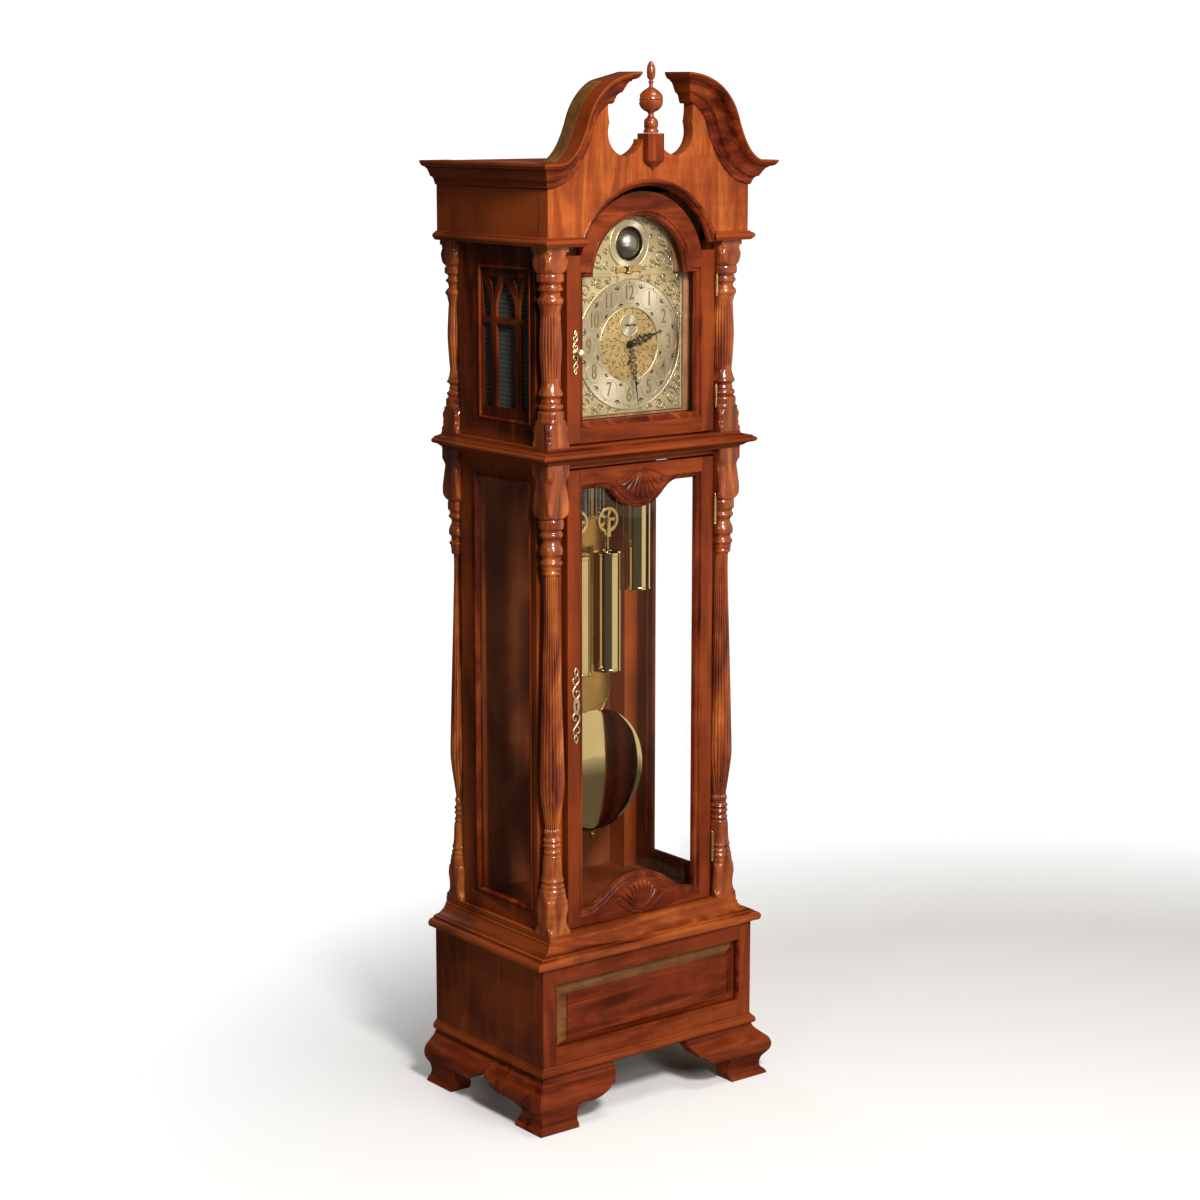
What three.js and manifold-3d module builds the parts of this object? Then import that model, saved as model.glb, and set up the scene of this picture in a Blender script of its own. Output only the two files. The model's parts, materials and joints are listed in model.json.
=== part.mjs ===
// A longcase clock: a three-part wooden case with turned corner posts, two glazed doors, an arched dial,
// and a weight-driven movement with a pendulum. Millimetres, +Z up, +X to the right and +Y to the back.
// The origin is on the ground, at the middle of the case's width and depth.

import * as THREE from "three";
import { mergeVertices } from "three/addons/utils/BufferGeometryUtils.js";
import Module from "manifold-3d";

const wasm = await Module();
wasm.setup();

// ---- Driving dimensions ----

const GAP = 0.3; // between pieces that touch
const DEPTH = 428; // back of the case to the lip of the cornice
const BACK = DEPTH / 2;
const fromBack = (depth) => BACK - depth;

const BASE = { half: 279, front: fromBack(387), bottom: 112, top: 342, board: 20 };
const WAIST = { half: 250, front: fromBack(371), bottom: 404, top: 1374 };
const HOOD = { bottom: 1408, top: 1803 };
const FRIEZE = { half: 256, front: fromBack(381), board: 30, top: 1965 };
const BACK_BOARD = 12;

const POST = { side: 54, x: 223, segments: 8 };
POST.front = WAIST.front + POST.side / 2;
POST.back = BACK - POST.side / 2;

const SIDE = { outer: 240, inner: 220, cheek: 186, cheekFront: -119, return: 10 };
const WAIST_LIGHT = { front: fromBack(298), back: fromBack(98), bottom: 440, top: 1334 };
const HOOD_LIGHT = { front: fromBack(300), back: fromBack(120), bottom: 1446, top: 1761 };

const DOOR = { front: fromBack(355), thick: 20, half: 190, glass: 4 };
const WAIST_DOOR = { bottom: 406, top: 1358 };
const WAIST_DOOR_LIGHT = {
  half: 148, bottom: 438, bottomMiddle: 494, topMiddle: 1268, top: 1317, shoulder: 100,
};
const HOOD_DOOR = { bottom: 1411, shoulder: 1784, archCentre: 1748, archRadius: 158 };
const HOOD_DOOR_LIGHT = { half: 146, bottom: 1454, shoulder: 1740, archCentre: 1737, archRadius: 120 };
const HINGE = { x: 192, y: DOOR.front - 4, radius: 3.5 };

const FASCIA_ARCH = { centre: 1748, radius: 183 };
const CROWN_CAP = 8.3; // thickness of the cornice's top, which laps over the boards

const DIAL = { front: -97, thick: 3, half: 140, bottom: 1457, shoulder: 1740, archRadius: 118 };
const ARBOR = { z: 1597, secondsZ: 1636, windingX: 79, windingZ: 1568, centreWindingZ: 1560 };
const MOON = { z: 1800, y: -80, radius: 32, aperture: 35 };
const MOVEMENT = { half: 92, front: -84, back: -4, plate: 4, bottom: 1450, top: 1640 };
const SEAT_BOARD = { thick: 18, front: -92, back: 8 };

const WEIGHT = { radius: 30, length: 256, spacing: 79, y: -26 };
const WEIGHT_TOPS = { left: 1163, center: 1163, right: 1329 };
const PULLEY = { radius: 27, ropeRadius: 24, half: 4, aboveWeight: 65, axle: 2.5 };
const CABLE_RADIUS = 1;

const PENDULUM = { y: 26, pivot: 1636, bobCentre: 681, bobRadius: 135, bobHalf: 12 };
const CHIME = { rods: 8, firstX: 44, pitch: 10, y: fromBack(80), top: 1380, bottom: 850, radius: 2.5 };
const TIME = { hours: 2, minutes: 28.5, seconds: 15 };

// ---- Materials ----

const material = (color, roughness, metalness = 0) =>
  new THREE.MeshStandardMaterial({ color, roughness, metalness });
const cherry = () => material(0x6b2a12, 0.3);
const darkCherry = () => material(0x3a150b, 0.3);
const plywood = () => material(0x5a2a18, 0.7);
const brass = () => material(0xb98a3c, 0.25, 1);
const silver = () => material(0xc9c7c0, 0.35, 1);
const steel = () => material(0x77787a, 0.3, 1);
const black = () => material(0x0b0b0b, 0.4);
const cloth = () => material(0x12160f, 0.95);
const glass = () =>
  new THREE.MeshStandardMaterial({ color: 0xdfe6e4, roughness: 0.05, transparent: true, opacity: 0.25 });

// ---- Solids ----

function solidOf(geometry) {
  const bare = geometry.clone();
  bare.deleteAttribute("normal");
  bare.deleteAttribute("uv");
  const merged = mergeVertices(bare, 1e-4);
  return new wasm.Manifold(
    new wasm.Mesh({
      numProp: 3,
      vertProperties: merged.attributes.position.array,
      triVerts: new Uint32Array(merged.index.array),
    }),
  );
}

function geometryOf(solid) {
  const mesh = solid.getMesh();
  const geometry = new THREE.BufferGeometry();
  geometry.setAttribute("position", new THREE.BufferAttribute(mesh.vertProperties, 3));
  geometry.setIndex(new THREE.BufferAttribute(mesh.triVerts, 1));
  const faceted = geometry.toNonIndexed();
  faceted.computeVertexNormals();
  return faceted;
}

const join = (...solids) => solids.reduce((sum, next) => sum.add(next));

function block([x0, x1], [y0, y1], [z0, z1]) {
  const geometry = new THREE.BoxGeometry(x1 - x0, y1 - y0, z1 - z0);
  geometry.translate((x0 + x1) / 2, (y0 + y1) / 2, (z0 + z1) / 2);
  return solidOf(geometry);
}

const shapeOf = (points) => new THREE.Shape(points.map(([x, y]) => new THREE.Vector2(x, y)));

// A run of cubic Bezier curves, each given by its four points.
function curvePath(runs) {
  const path = new THREE.CurvePath();
  for (const run of runs) {
    path.add(new THREE.CubicBezierCurve(...run.map(([x, y]) => new THREE.Vector2(x, y))));
  }
  return path;
}

// Adds the mirror image of the right half of an outline.
const symmetric = (half) => [...half, ...half.map(([x, z]) => [-x, z]).reverse()];

// A shape drawn in X and Z, with its thickness from yFront back to yBack.
function frontSlab(shape, yFront, yBack, curveSegments = 12) {
  const geometry = new THREE.ExtrudeGeometry(shape, {
    depth: yBack - yFront,
    bevelEnabled: false,
    curveSegments,
  });
  geometry.rotateX(Math.PI / 2);
  geometry.translate(0, yBack, 0);
  return solidOf(geometry);
}

// A shape drawn in Y and Z, with its thickness from x0 to x1.
function sideSlab(shape, x0, x1) {
  const geometry = new THREE.ExtrudeGeometry(shape, {
    depth: x1 - x0,
    bevelEnabled: false,
    curveSegments: 6,
  });
  const turn = new THREE.Matrix4().makeBasis(
    new THREE.Vector3(0, 1, 0),
    new THREE.Vector3(0, 0, 1),
    new THREE.Vector3(1, 0, 0),
  );
  geometry.applyMatrix4(turn);
  geometry.translate(x0, 0, 0);
  return solidOf(geometry);
}

// A profile of [radius, height] points, from bottom to top, turned round the Z axis.
function turned(profile, segments = 12, startAngle = 0) {
  const points = profile.map(([radius, height]) => new THREE.Vector2(radius, height));
  const geometry = new THREE.LatheGeometry(points, segments, startAngle);
  geometry.rotateX(Math.PI / 2);
  return solidOf(geometry);
}

// The same, turned round an axis that points to the back, through (x, z).
function turnedAcross(profile, x, z, segments = 12) {
  const points = profile.map(([radius, depth]) => new THREE.Vector2(radius, depth));
  const geometry = new THREE.LatheGeometry(points, segments);
  geometry.translate(x, 0, z);
  return solidOf(geometry);
}

const rodAcross = (x, z, radius, y0, y1, segments = 10) =>
  turnedAcross([[0, y0], [radius, y0], [radius, y1], [0, y1]], x, z, segments);

// Makes a solid from a closed set of triangles, with its faces turned outwards.
function orient(positions, faces) {
  const build = (triVerts) =>
    new wasm.Manifold(
      new wasm.Mesh({ numProp: 3, vertProperties: new Float32Array(positions), triVerts }),
    );
  const made = build(new Uint32Array(faces));
  if (made.volume() > 0) return made;
  const flipped = [];
  for (let i = 0; i < faces.length; i += 3) flipped.push(faces[i], faces[i + 2], faces[i + 1]);
  return build(new Uint32Array(flipped));
}

// Carries a closed profile through a list of stations. A station is a function that places one
// profile point.
function sweep(profile, stations) {
  const size = profile.length;
  const positions = stations.flatMap((place) => profile.flatMap((point) => place(point)));
  const faces = [];
  for (let s = 0; s + 1 < stations.length; s++) {
    for (let k = 0; k < size; k++) {
      const a = s * size + k;
      const b = s * size + ((k + 1) % size);
      faces.push(a, b, a + size, b, b + size, a + size);
    }
  }
  const flat = profile.map(([u, v]) => new THREE.Vector2(u, v));
  const clockwise = THREE.ShapeUtils.isClockWise(flat);
  const last = (stations.length - 1) * size;
  for (const [a, b, c] of THREE.ShapeUtils.triangulateShape(flat, [])) {
    const [p, q] = clockwise ? [b, c] : [c, b];
    faces.push(a, p, q, last + a, last + q, last + p);
  }
  return orient(positions, faces);
}

// A mitred run of [out, z] profile round the left side, the front and the right side of a box.
function threeSides(profile, half, front, frontScale = 1) {
  const at = (x, y, dx, dy) => ([out, z]) => [x + dx * out, y + dy * out, z];
  return sweep(profile, [
    at(-half, BACK, -1, 0),
    at(-half, front, -1, -frontScale),
    at(half, front, 1, -frontScale),
    at(half, BACK, 1, 0),
  ]);
}

// ---- The assembly ----

const clock = new THREE.Group();

function add(name, solid, finish, position = [0, 0, 0]) {
  const mesh = new THREE.Mesh(geometryOf(solid), finish);
  mesh.name = name;
  mesh.position.set(...position);
  clock.add(mesh);
  return mesh;
}

// A piece on the right side of the clock and its mirror image on the left.
function addPair(name, solid, finish) {
  add(name + "_right", solid, finish());
  add(name + "_left", solid, finish()).scale.x = -1;
}

// ---- Base ----

const OGEE = [
  [27, 0], [21, 11], [16, 24], [19, 38], [30, 52], [33, 69], [24, 87], [8, 103], [-2, BASE.bottom - GAP],
];
const FOOT = { board: 22, frontInner: 98, frontEnd: 1, backStart: 3, backInner: 190 };

function footProfile() {
  return [...OGEE, [-FOOT.board, BASE.bottom - GAP], [-FOOT.board, 0]];
}

function frontFoot() {
  const wings = sweep(footProfile(), [
    ([out, z]) => [FOOT.frontInner, BASE.front - out, z],
    ([out, z]) => [BASE.half + out, BASE.front - out, z],
    ([out, z]) => [BASE.half + out, FOOT.frontEnd, z],
  ]);
  const frontScroll = shapeOf([
    [208, -1], [205, 46], [198, 52], [158, 54], [118, 74], [100, 98], [90, 98], [90, -1],
  ]);
  const sideScroll = shapeOf([
    [-113, -1], [-108, 9], [-121, 33], [-108, 49], [-92, 54], [-59, 51], [-32, 63], [-5, 75], [0, 88],
    [10, 88], [10, -1],
  ]);
  return wings
    .subtract(frontSlab(frontScroll, BASE.front - 50, BASE.front + 50))
    .subtract(sideSlab(sideScroll, BASE.half - 50, BASE.half + 50));
}

function backFoot() {
  const wing = sweep(footProfile(), [
    ([out, z]) => [BASE.half + out, FOOT.backStart, z],
    ([out, z]) => [BASE.half + out, BACK, z],
  ]);
  const inside = BASE.half - FOOT.board + 1;
  const board = block([FOOT.backInner, inside], [BACK - FOOT.board, BACK], [0, BASE.bottom - GAP]);
  const scroll = shapeOf([[123, -1], [123, 47], [63, 51], [34, 63], [15, 76], [4, 88], [-5, 88], [-5, -1]]);
  return join(wing, board).subtract(sideSlab(scroll, BASE.half - 50, BASE.half + 50));
}

addPair("foot_front", frontFoot(), cherry);
addPair("foot_back", backFoot(), cherry);

const BASE_PANEL = {
  openHalf: 248, openBottom: 165, openTop: 311, tongue: 8, edgeDepth: 15,
  fieldHalf: 213, fieldBottom: 186, fieldTop: 279, fieldDepth: 4,
};

function baseCase() {
  const { half, front, board, bottom, top } = BASE;
  const { openHalf, openBottom, openTop } = BASE_PANEL;
  const frame = block([-half, half], [front, front + board], [bottom, top]).subtract(
    block([-openHalf, openHalf], [front - 1, front + board + 1], [openBottom, openTop]),
  );
  const side = (sign) => {
    const span = [sign * half, sign * (half - board)].sort((a, b) => a - b);
    return block(span, [front + board / 2, BACK], [bottom, top]);
  };
  return join(frame, side(-1), side(1));
}

// The panel's tongue lies behind the frame, and its bevelled field stands in the opening.
function basePanel() {
  const { openHalf, openBottom, openTop, tongue, edgeDepth } = BASE_PANEL;
  const { fieldHalf, fieldBottom, fieldTop, fieldDepth } = BASE_PANEL;
  const behind = BASE.front + BASE.board + GAP;
  const rectangle = (half, bottom, top, y) => ([u, v]) => [u * half, y, v > 0 ? top : bottom];
  const corners = [[-1, -1], [1, -1], [1, 1], [-1, 1]];
  const opening = [openHalf - GAP, openBottom + GAP, openTop - GAP];
  return sweep(corners, [
    rectangle(openHalf + tongue, openBottom - tongue, openTop + tongue, behind + tongue),
    rectangle(openHalf + tongue, openBottom - tongue, openTop + tongue, behind),
    rectangle(...opening, behind - 0.1),
    rectangle(...opening, BASE.front + edgeDepth),
    rectangle(fieldHalf, fieldBottom, fieldTop, BASE.front + fieldDepth),
  ]);
}

function bottomMoulding() {
  const profile = [[GAP, 132], [5, 127], [9, 121], [9, 116], [3, BASE.bottom], [GAP, BASE.bottom]];
  return threeSides(profile, BASE.half, BASE.front);
}

// The stepped moulding between base and waist carries the floor of the waist.
function topMoulding() {
  const under = BASE.top + GAP;
  const inner = -POST.side;
  const profile = [
    [0, WAIST.bottom], [0, 388], [12, 375], [26, 367], [40, 361], [47, 355], [48, 349], [44, 344],
    [29, under], [inner, under], [inner, WAIST.bottom],
  ];
  const frontScale = 28 / 48;
  const floorHalf = 200;
  const floorDepth = [WAIST.front + 25, BACK - BACK_BOARD - GAP];
  const floor = block([-floorHalf, floorHalf], floorDepth, [WAIST.bottom - 20, WAIST.bottom]);
  return join(threeSides(profile, WAIST.half, WAIST.front, frontScale), floor);
}

add("base_case", baseCase(), darkCherry());
add("base_panel", basePanel(), cherry());
add("base_bottom_moulding", bottomMoulding(), cherry());
add("base_top_moulding", topMoulding(), cherry());

function backBoard() {
  const base = BASE.half - BASE.board - GAP;
  const waist = WAIST.half - POST.side - GAP;
  const frieze = FRIEZE.half - FRIEZE.board - GAP;
  const right = [
    [base, BASE.bottom], [base, BASE.top - GAP], [waist, BASE.top - GAP], [waist, HOOD.top + GAP],
    [frieze, HOOD.top + GAP], [frieze, FRIEZE.top - 16],
  ];
  return frontSlab(shapeOf(symmetric(right)), BACK - BACK_BOARD, BACK);
}

add("back_board", backBoard(), plywood());

// ---- Corner posts ----

const WAIST_POST_PROFILE = [
  [0, 404.3], [45, 404.3], [45, 408], [30, 430], [32.4, 458], [28, 480], [26.6, 497], [25, 505],
  [21.6, 511], [23.8, 517], [21.2, 526], [19.8, 560], [17, 571], [18.4, 577], [15.8, 583],
  [18.6, 591], [15.8, 596.5], [18.8, 602], [15.2, 610], [17.4, 619], [14.6, 627], [23.7, 695],
  [26, 720], [24.5, 787], [16.6, 1037], [14.4, 1126], [14.6, 1148], [19.4, 1154], [20, 1169],
  [23.4, 1175], [19, 1185], [24.2, 1196], [22.4, 1208], [18, 1220], [24.4, 1231.5], [21.6, 1240],
  [26, 1248], [26, 1261], [24.6, 1264], [36.4, 1280], [36.6, 1290], [30.4, 1338], [45, 1356],
  [45, 1374], [0, 1374],
];
const HOOD_POST_PROFILE = [
  [0, 1408.3], [45, 1408.3], [45, 1417], [33.4, 1423], [34.6, 1444], [31, 1457], [27.2, 1464],
  [27.4, 1477], [22, 1482], [25.6, 1489], [20, 1496], [19, 1505], [25.2, 1514], [18.4, 1537],
  [22.8, 1608], [19.8, 1672], [23.4, 1690], [26.4, 1696], [19.8, 1710], [25, 1721], [21, 1730],
  [27.4, 1737], [27.4, 1748], [26.5, 1752], [33, 1762], [35, 1774], [31.6, 1786], [45, 1795],
  [45, 1803], [0, 1803],
];

// A square blank with its middle turned. Where the turning is wider than the blank, the flats stay.
function post(profile) {
  const half = POST.side / 2;
  const bottom = profile[0][1];
  const top = profile[profile.length - 1][1];
  const blank = block([-half, half], [-half, half], [bottom, top]);
  return turned(profile, POST.segments, Math.PI / POST.segments).intersect(blank);
}

function addPosts(name, profile) {
  const solid = post(profile);
  for (const [end, y] of [["front", POST.front], ["back", POST.back]]) {
    add(`${name}_${end}_right`, solid, cherry(), [POST.x, y, 0]);
    add(`${name}_${end}_left`, solid, cherry(), [-POST.x, y, 0]);
  }
}

const shortened = (profile) =>
  profile.map(([radius, z]) => [radius, Math.min(z, profile[profile.length - 1][1] - GAP)]);

addPosts("waist_post", shortened(WAIST_POST_PROFILE));
addPosts("hood_post", shortened(HOOD_POST_PROFILE));

// ---- Sides ----

// The side board between two posts. Behind the front post it has the stile that the door closes on,
// and round the back post it turns in to meet the back board.
function sideBoard(bottom, top, light) {
  const front = WAIST.front + POST.side + GAP;
  const back = BACK - POST.side - GAP;
  const board = block([SIDE.inner, SIDE.outer], [front, back], [bottom, top]);
  const stile = block([SIDE.cheek, SIDE.outer], [front, front + SIDE.return], [bottom, top]);
  const postInner = WAIST.half - POST.side - GAP;
  const cheek = block([SIDE.cheek, postInner], [SIDE.cheekFront, front + SIDE.return], [bottom, top]);
  const rearInner = postInner - SIDE.return;
  const rearStile = block([rearInner, SIDE.outer], [back - SIDE.return, back], [bottom, top]);
  const rearDepth = [back - SIDE.return, BACK - BACK_BOARD - GAP];
  const rearCheek = block([rearInner, postInner], rearDepth, [bottom, top]);
  const through = [SIDE.inner - 1, SIDE.outer + 1];
  const opening = block(through, [light.front, light.back], [light.bottom, light.top]);
  return join(board, stile, cheek, rearStile, rearCheek).subtract(opening);
}

// One pointed opening of the fret, as a shape in Y and Z. A side that is not arched stays upright.
function lancet(front, back, peak, bottom, spring, top) {
  const shape = new THREE.Shape();
  shape.moveTo(front, bottom);
  shape.lineTo(back, bottom);
  shape.lineTo(back, back === peak ? top : spring);
  if (back !== peak) shape.quadraticCurveTo(back, (spring + top) / 2, peak, top);
  if (front !== peak) shape.quadraticCurveTo(front, (spring + top) / 2, front, spring);
  return shape;
}

const FRET = {
  inner: 229,
  outer: 235,
  lap: 2,
  bays: [{ from: -74, to: -44, peak: -74 }, { from: -29, to: 36, peak: 7 }, { from: 54, to: 84, peak: 84 }],
  row: { bottom: 1475, top: 1643 },
  arch: { bottom: 1655, spring: 1672, top: 1731 },
  eye: { centres: [-38, 45], half: 17, bottom: 1698, top: 1737 },
};

// A thin panel across the hood's side light, pierced by two rows of openings.
function fret() {
  const { front, back, bottom, top } = HOOD_LIGHT;
  const { outer, inner, lap, bays, row, arch, eye } = FRET;
  const panel = block([inner, outer], [front - lap, back + lap], [bottom - lap, top + lap]);
  const holes = [];
  for (const { from, to, peak } of bays) {
    holes.push(shapeOf([[from, row.bottom], [to, row.bottom], [to, row.top], [from, row.top]]));
    holes.push(lancet(from, to, peak, arch.bottom, arch.spring, arch.top));
  }
  for (const y of eye.centres) {
    holes.push(shapeOf([[y - eye.half, eye.top], [y, eye.bottom], [y + eye.half, eye.top]]));
  }
  return holes.reduce((left, hole) => left.subtract(sideSlab(hole, inner - 1, outer + 1)), panel);
}

const waistSide = sideBoard(WAIST.bottom + GAP, WAIST.top - GAP, WAIST_LIGHT);
addPair("waist_side", waistSide, darkCherry);

// A sheet that fills a side's light, between two distances from the middle of the clock.
function fillOf(light, [inner, outer]) {
  const y = [light.front + GAP, light.back - GAP];
  return block([inner, outer], y, [light.bottom + GAP, light.top - GAP]);
}

const SIDE_GLASS = [225, 229];
const CLOTH = [225.5, 228.5];
addPair("waist_side_glass", fillOf(WAIST_LIGHT, SIDE_GLASS), glass);

// The hood's side rises into the side of the frieze, which stands out over the posts.
function hoodSide() {
  const lap = 7;
  const lower = sideBoard(HOOD.bottom + GAP, HOOD.top + lap, HOOD_LIGHT);
  const inner = FRIEZE.half - FRIEZE.board;
  const upper = block(
    [inner, FRIEZE.half - 2 * GAP],
    [FRIEZE.front + FRIEZE.board + GAP, BACK],
    [HOOD.top + GAP, FRIEZE.top - CROWN_CAP - GAP],
  );
  const clearOfFascia = [FRIEZE.front, -100];
  const clear = block([SIDE.cheek - 1, 235], clearOfFascia, [HOOD.top - GAP, HOOD.top + lap + 1]);
  return join(lower, fret()).subtract(clear).add(upper);
}

addPair("hood_side", hoodSide(), darkCherry);
addPair("speaker_cloth", fillOf(HOOD_LIGHT, CLOTH), cloth);

// ---- Waist moulding, fascia and cornice ----

function waistMoulding() {
  const top = HOOD.bottom - GAP;
  const bottom = WAIST.top + GAP;
  const inner = -POST.side;
  const profile = [
    [0, top], [4, 1402], [18, 1399], [25, 1395], [26, 1391], [22, 1386], [6, 1380], [0, bottom],
    [inner, bottom], [inner, top],
  ];
  const frontScale = 0.92;
  const railHalf = POST.x - POST.side / 2 - 1;
  const rail = block([-railHalf, railHalf], [DOOR.front, DOOR.front + DOOR.thick + GAP], [1361, 1385]);
  return join(threeSides(profile, WAIST.half, WAIST.front, frontScale), rail);
}

add("waist_moulding", waistMoulding(), cherry());

const NECK = { steps: 10, end: 100, top: 2140, returnScale: 0.87, tipSlope: 0.08, tipDrop: 1.12 };

// The swan neck's upper edge, from the front corner of the cornice to the tip beside the finial.
function swanNeck() {
  return curvePath([
    [[262, 1965], [228, 1965], [206, 2005], [192, 2046]],
    [[192, 2046], [178, 2092], [140, 2135], [60, NECK.top]],
  ]);
}

// Points on the swan neck, each moved by drop towards the arch.
function neckPoints(steps) {
  const path = swanNeck();
  const points = [];
  for (let i = 0; i <= steps; i++) {
    const at = path.getPointAt(i / steps);
    const along = path.getTangentAt(i / steps);
    points.push({ x: at.x, z: at.y, nx: -along.y, nz: along.x });
  }
  return points;
}

function crown() {
  const cap = CROWN_CAP;
  const overBoard = -FRIEZE.board - GAP;
  const profile = [
    [47, 0], [47, 5], [33, 13], [28, 16], [16, 33], [8, 36], [2, 50], [GAP, 50], [GAP, cap],
    [overBoard, cap], [overBoard, 0],
  ];
  const { half, front, top } = FRIEZE;
  const neck = neckPoints(NECK.steps).filter(({ x }) => x > NECK.end + 30);
  const sideScale = 41 / 47;
  const tip = (depth) => ([out, drop]) => [
    NECK.end - NECK.returnScale * out,
    depth ?? front - out,
    NECK.top - NECK.tipSlope * (40 - out) - NECK.tipDrop * drop,
  ];
  const stations = [
    ([out, drop]) => [half + sideScale * out, BACK, top - drop],
    ([out, drop]) => [half + sideScale * out, front - out, top - drop],
    ...neck.map(({ x, z, nx, nz }) => ([out, drop]) => [x + nx * drop, front - out, z + nz * drop]),
    tip(),
    tip(front + FRIEZE.board + 2 * GAP),
  ];
  return sweep(profile, stations);
}

addPair("crown", crown(), cherry);

// The right half of the cut-out round the finial, from under the swan neck's tip down to the plinth's seat.
function finialCutOut() {
  const path = curvePath([
    [[NECK.end + 2, 2124], [109, 2082], [109, 2062], [104, 2042]],
    [[104, 2042], [116, 2010], [96, 1978], [63, 1976]],
    [[63, 1976], [48, 1978], [34, 1986], [23, 2001]],
  ]);
  return [...path.getPoints(8).map(({ x, y }) => [x, y]), [21, 2009]];
}

// The front board of the hood: arched below, swan-necked above, with the cut-out that frames the finial.
function fasciaShape() {
  const { half } = FRIEZE;
  const { centre, radius } = FASCIA_ARCH;
  const under = CROWN_CAP + GAP;
  const springAngle = Math.asin((HOOD.top + GAP - centre) / radius);
  const neck = neckPoints(NECK.steps);
  const edge = neck
    .map(({ x, z, nx, nz }) => [x + nx * under, z + nz * under])
    .filter(([x]) => x > NECK.end + 34 && x < half);
  const side = half - GAP;
  const right = [[side, HOOD.top + GAP], [side, FRIEZE.top - under], ...edge, ...finialCutOut()];
  const shape = shapeOf(symmetric(right));
  shape.absarc(0, centre, radius, Math.PI - springAngle, springAngle, true);
  return shape;
}

// A bead moulding runs along the sides and returns to the door's arch on the front.
function hoodMoulding(sign) {
  const inner = -GAP;
  const foot = HOOD.top + GAP;
  const profile = [[inner, 1821], [7, 1818], [11, 1812], [9, 1806], [4, foot], [inner, foot]];
  const { half, front } = FRIEZE;
  return sweep(profile, [
    ([out, z]) => [sign * (half + out), BACK, z],
    ([out, z]) => [sign * (half + out), front - out, z],
    ([out, z]) => [sign * (176 - out), front - out, z],
  ]);
}

function fasciaBoard() {
  const { front, board } = FRIEZE;
  return join(frontSlab(fasciaShape(), front, front + board, 8), hoodMoulding(-1), hoodMoulding(1));
}

add("fascia_board", fasciaBoard(), cherry());

function topBoard() {
  const half = FRIEZE.half - FRIEZE.board - GAP;
  const thick = 14;
  const top = FRIEZE.top - 1;
  return block([-half, half], [FRIEZE.front + FRIEZE.board + GAP, BACK], [top - thick, top]);
}

add("top_board", topBoard(), plywood());

// ---- Finial ----

const FINIAL = { y: FRIEZE.front + 1, base: 2021 };
const PLINTH = { half: 21, front: fromBack(405), point: 1951, shoulder: 1968, seatBottom: 2009 + GAP };

function finialPlinth() {
  const { half, front, point, shoulder, seatBottom } = PLINTH;
  const top = FINIAL.base - GAP;
  const right = [[0, point], [15, point + 9], [half, shoulder], [half, top - 1]];
  const drop = shapeOf(symmetric(right.slice(1)).concat([[0, point]]));
  const seat = block([-half, half], [front, FRIEZE.front + FRIEZE.board], [seatBottom, top]);
  return join(frontSlab(drop, front, FRIEZE.front - GAP), seat);
}

function finial() {
  return turned([
    [0, 0], [15, 0], [15, 10], [13, 20], [6, 34], [18, 46], [24, 62], [24, 70], [16, 86], [6.5, 97],
    [8, 104], [9, 114], [5, 130], [0, 140],
  ]);
}

add("finial_plinth", finialPlinth(), cherry());
add("finial", finial(), cherry(), [0, FINIAL.y, FINIAL.base]);

// ---- Doors ----

function waistDoorFrame() {
  const { half, front, thick } = DOOR;
  const { bottom, top } = WAIST_DOOR;
  const outline = shapeOf([[-half, bottom], [half, bottom], [half, top], [-half, top]]);
  const { half: side, bottom: low, bottomMiddle, topMiddle, top: high, shoulder } = WAIST_DOOR_LIGHT;
  const light = new THREE.Path();
  light.moveTo(-side, low);
  light.bezierCurveTo(-90, low, -80, bottomMiddle, 0, bottomMiddle);
  light.bezierCurveTo(80, bottomMiddle, 90, low, side, low);
  light.lineTo(side, high);
  light.lineTo(shoulder, high);
  light.bezierCurveTo(60, high, 60, topMiddle, 0, topMiddle);
  light.bezierCurveTo(-60, topMiddle, -60, high, -shoulder, high);
  light.lineTo(-side, high);
  outline.holes.push(light);
  return frontSlab(outline, front, front + thick, 5);
}

// A rectangle with an arch on it, such as the hood door and its light.
function archedShape({ half, bottom, shoulder, archCentre, archRadius }) {
  const angle = Math.asin((shoulder - archCentre) / archRadius);
  const shape = new THREE.Shape();
  shape.moveTo(-half, bottom);
  shape.lineTo(half, bottom);
  shape.lineTo(half, shoulder);
  shape.absarc(0, archCentre, archRadius, angle, Math.PI - angle, false);
  shape.lineTo(-half, shoulder);
  return shape;
}

function hoodDoorFrame() {
  const outline = archedShape({ half: DOOR.half, ...HOOD_DOOR });
  outline.holes.push(archedShape(HOOD_DOOR_LIGHT));
  return frontSlab(outline, DOOR.front, DOOR.front + DOOR.thick, 12);
}

const glassFront = DOOR.front + DOOR.thick + GAP;
const PANE_LAP = 10;

function waistDoorPane() {
  const { half, bottom, top } = WAIST_DOOR_LIGHT;
  const side = half + PANE_LAP;
  return block([-side, side], [glassFront, glassFront + DOOR.glass], [bottom - PANE_LAP, top + PANE_LAP]);
}

function hoodDoorPane() {
  const { half, bottom, shoulder, archCentre, archRadius } = HOOD_DOOR_LIGHT;
  const pane = archedShape({
    half: half + PANE_LAP,
    bottom: bottom - PANE_LAP,
    shoulder: shoulder + PANE_LAP,
    archCentre,
    archRadius: archRadius + PANE_LAP,
  });
  return frontSlab(pane, glassFront, glassFront + DOOR.glass, 12);
}

add("waist_door_frame", waistDoorFrame(), cherry());
add("waist_door_glass", waistDoorPane(), glass());
add("hood_door_frame", hoodDoorFrame(), cherry());
add("hood_door_glass", hoodDoorPane(), glass());

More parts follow.
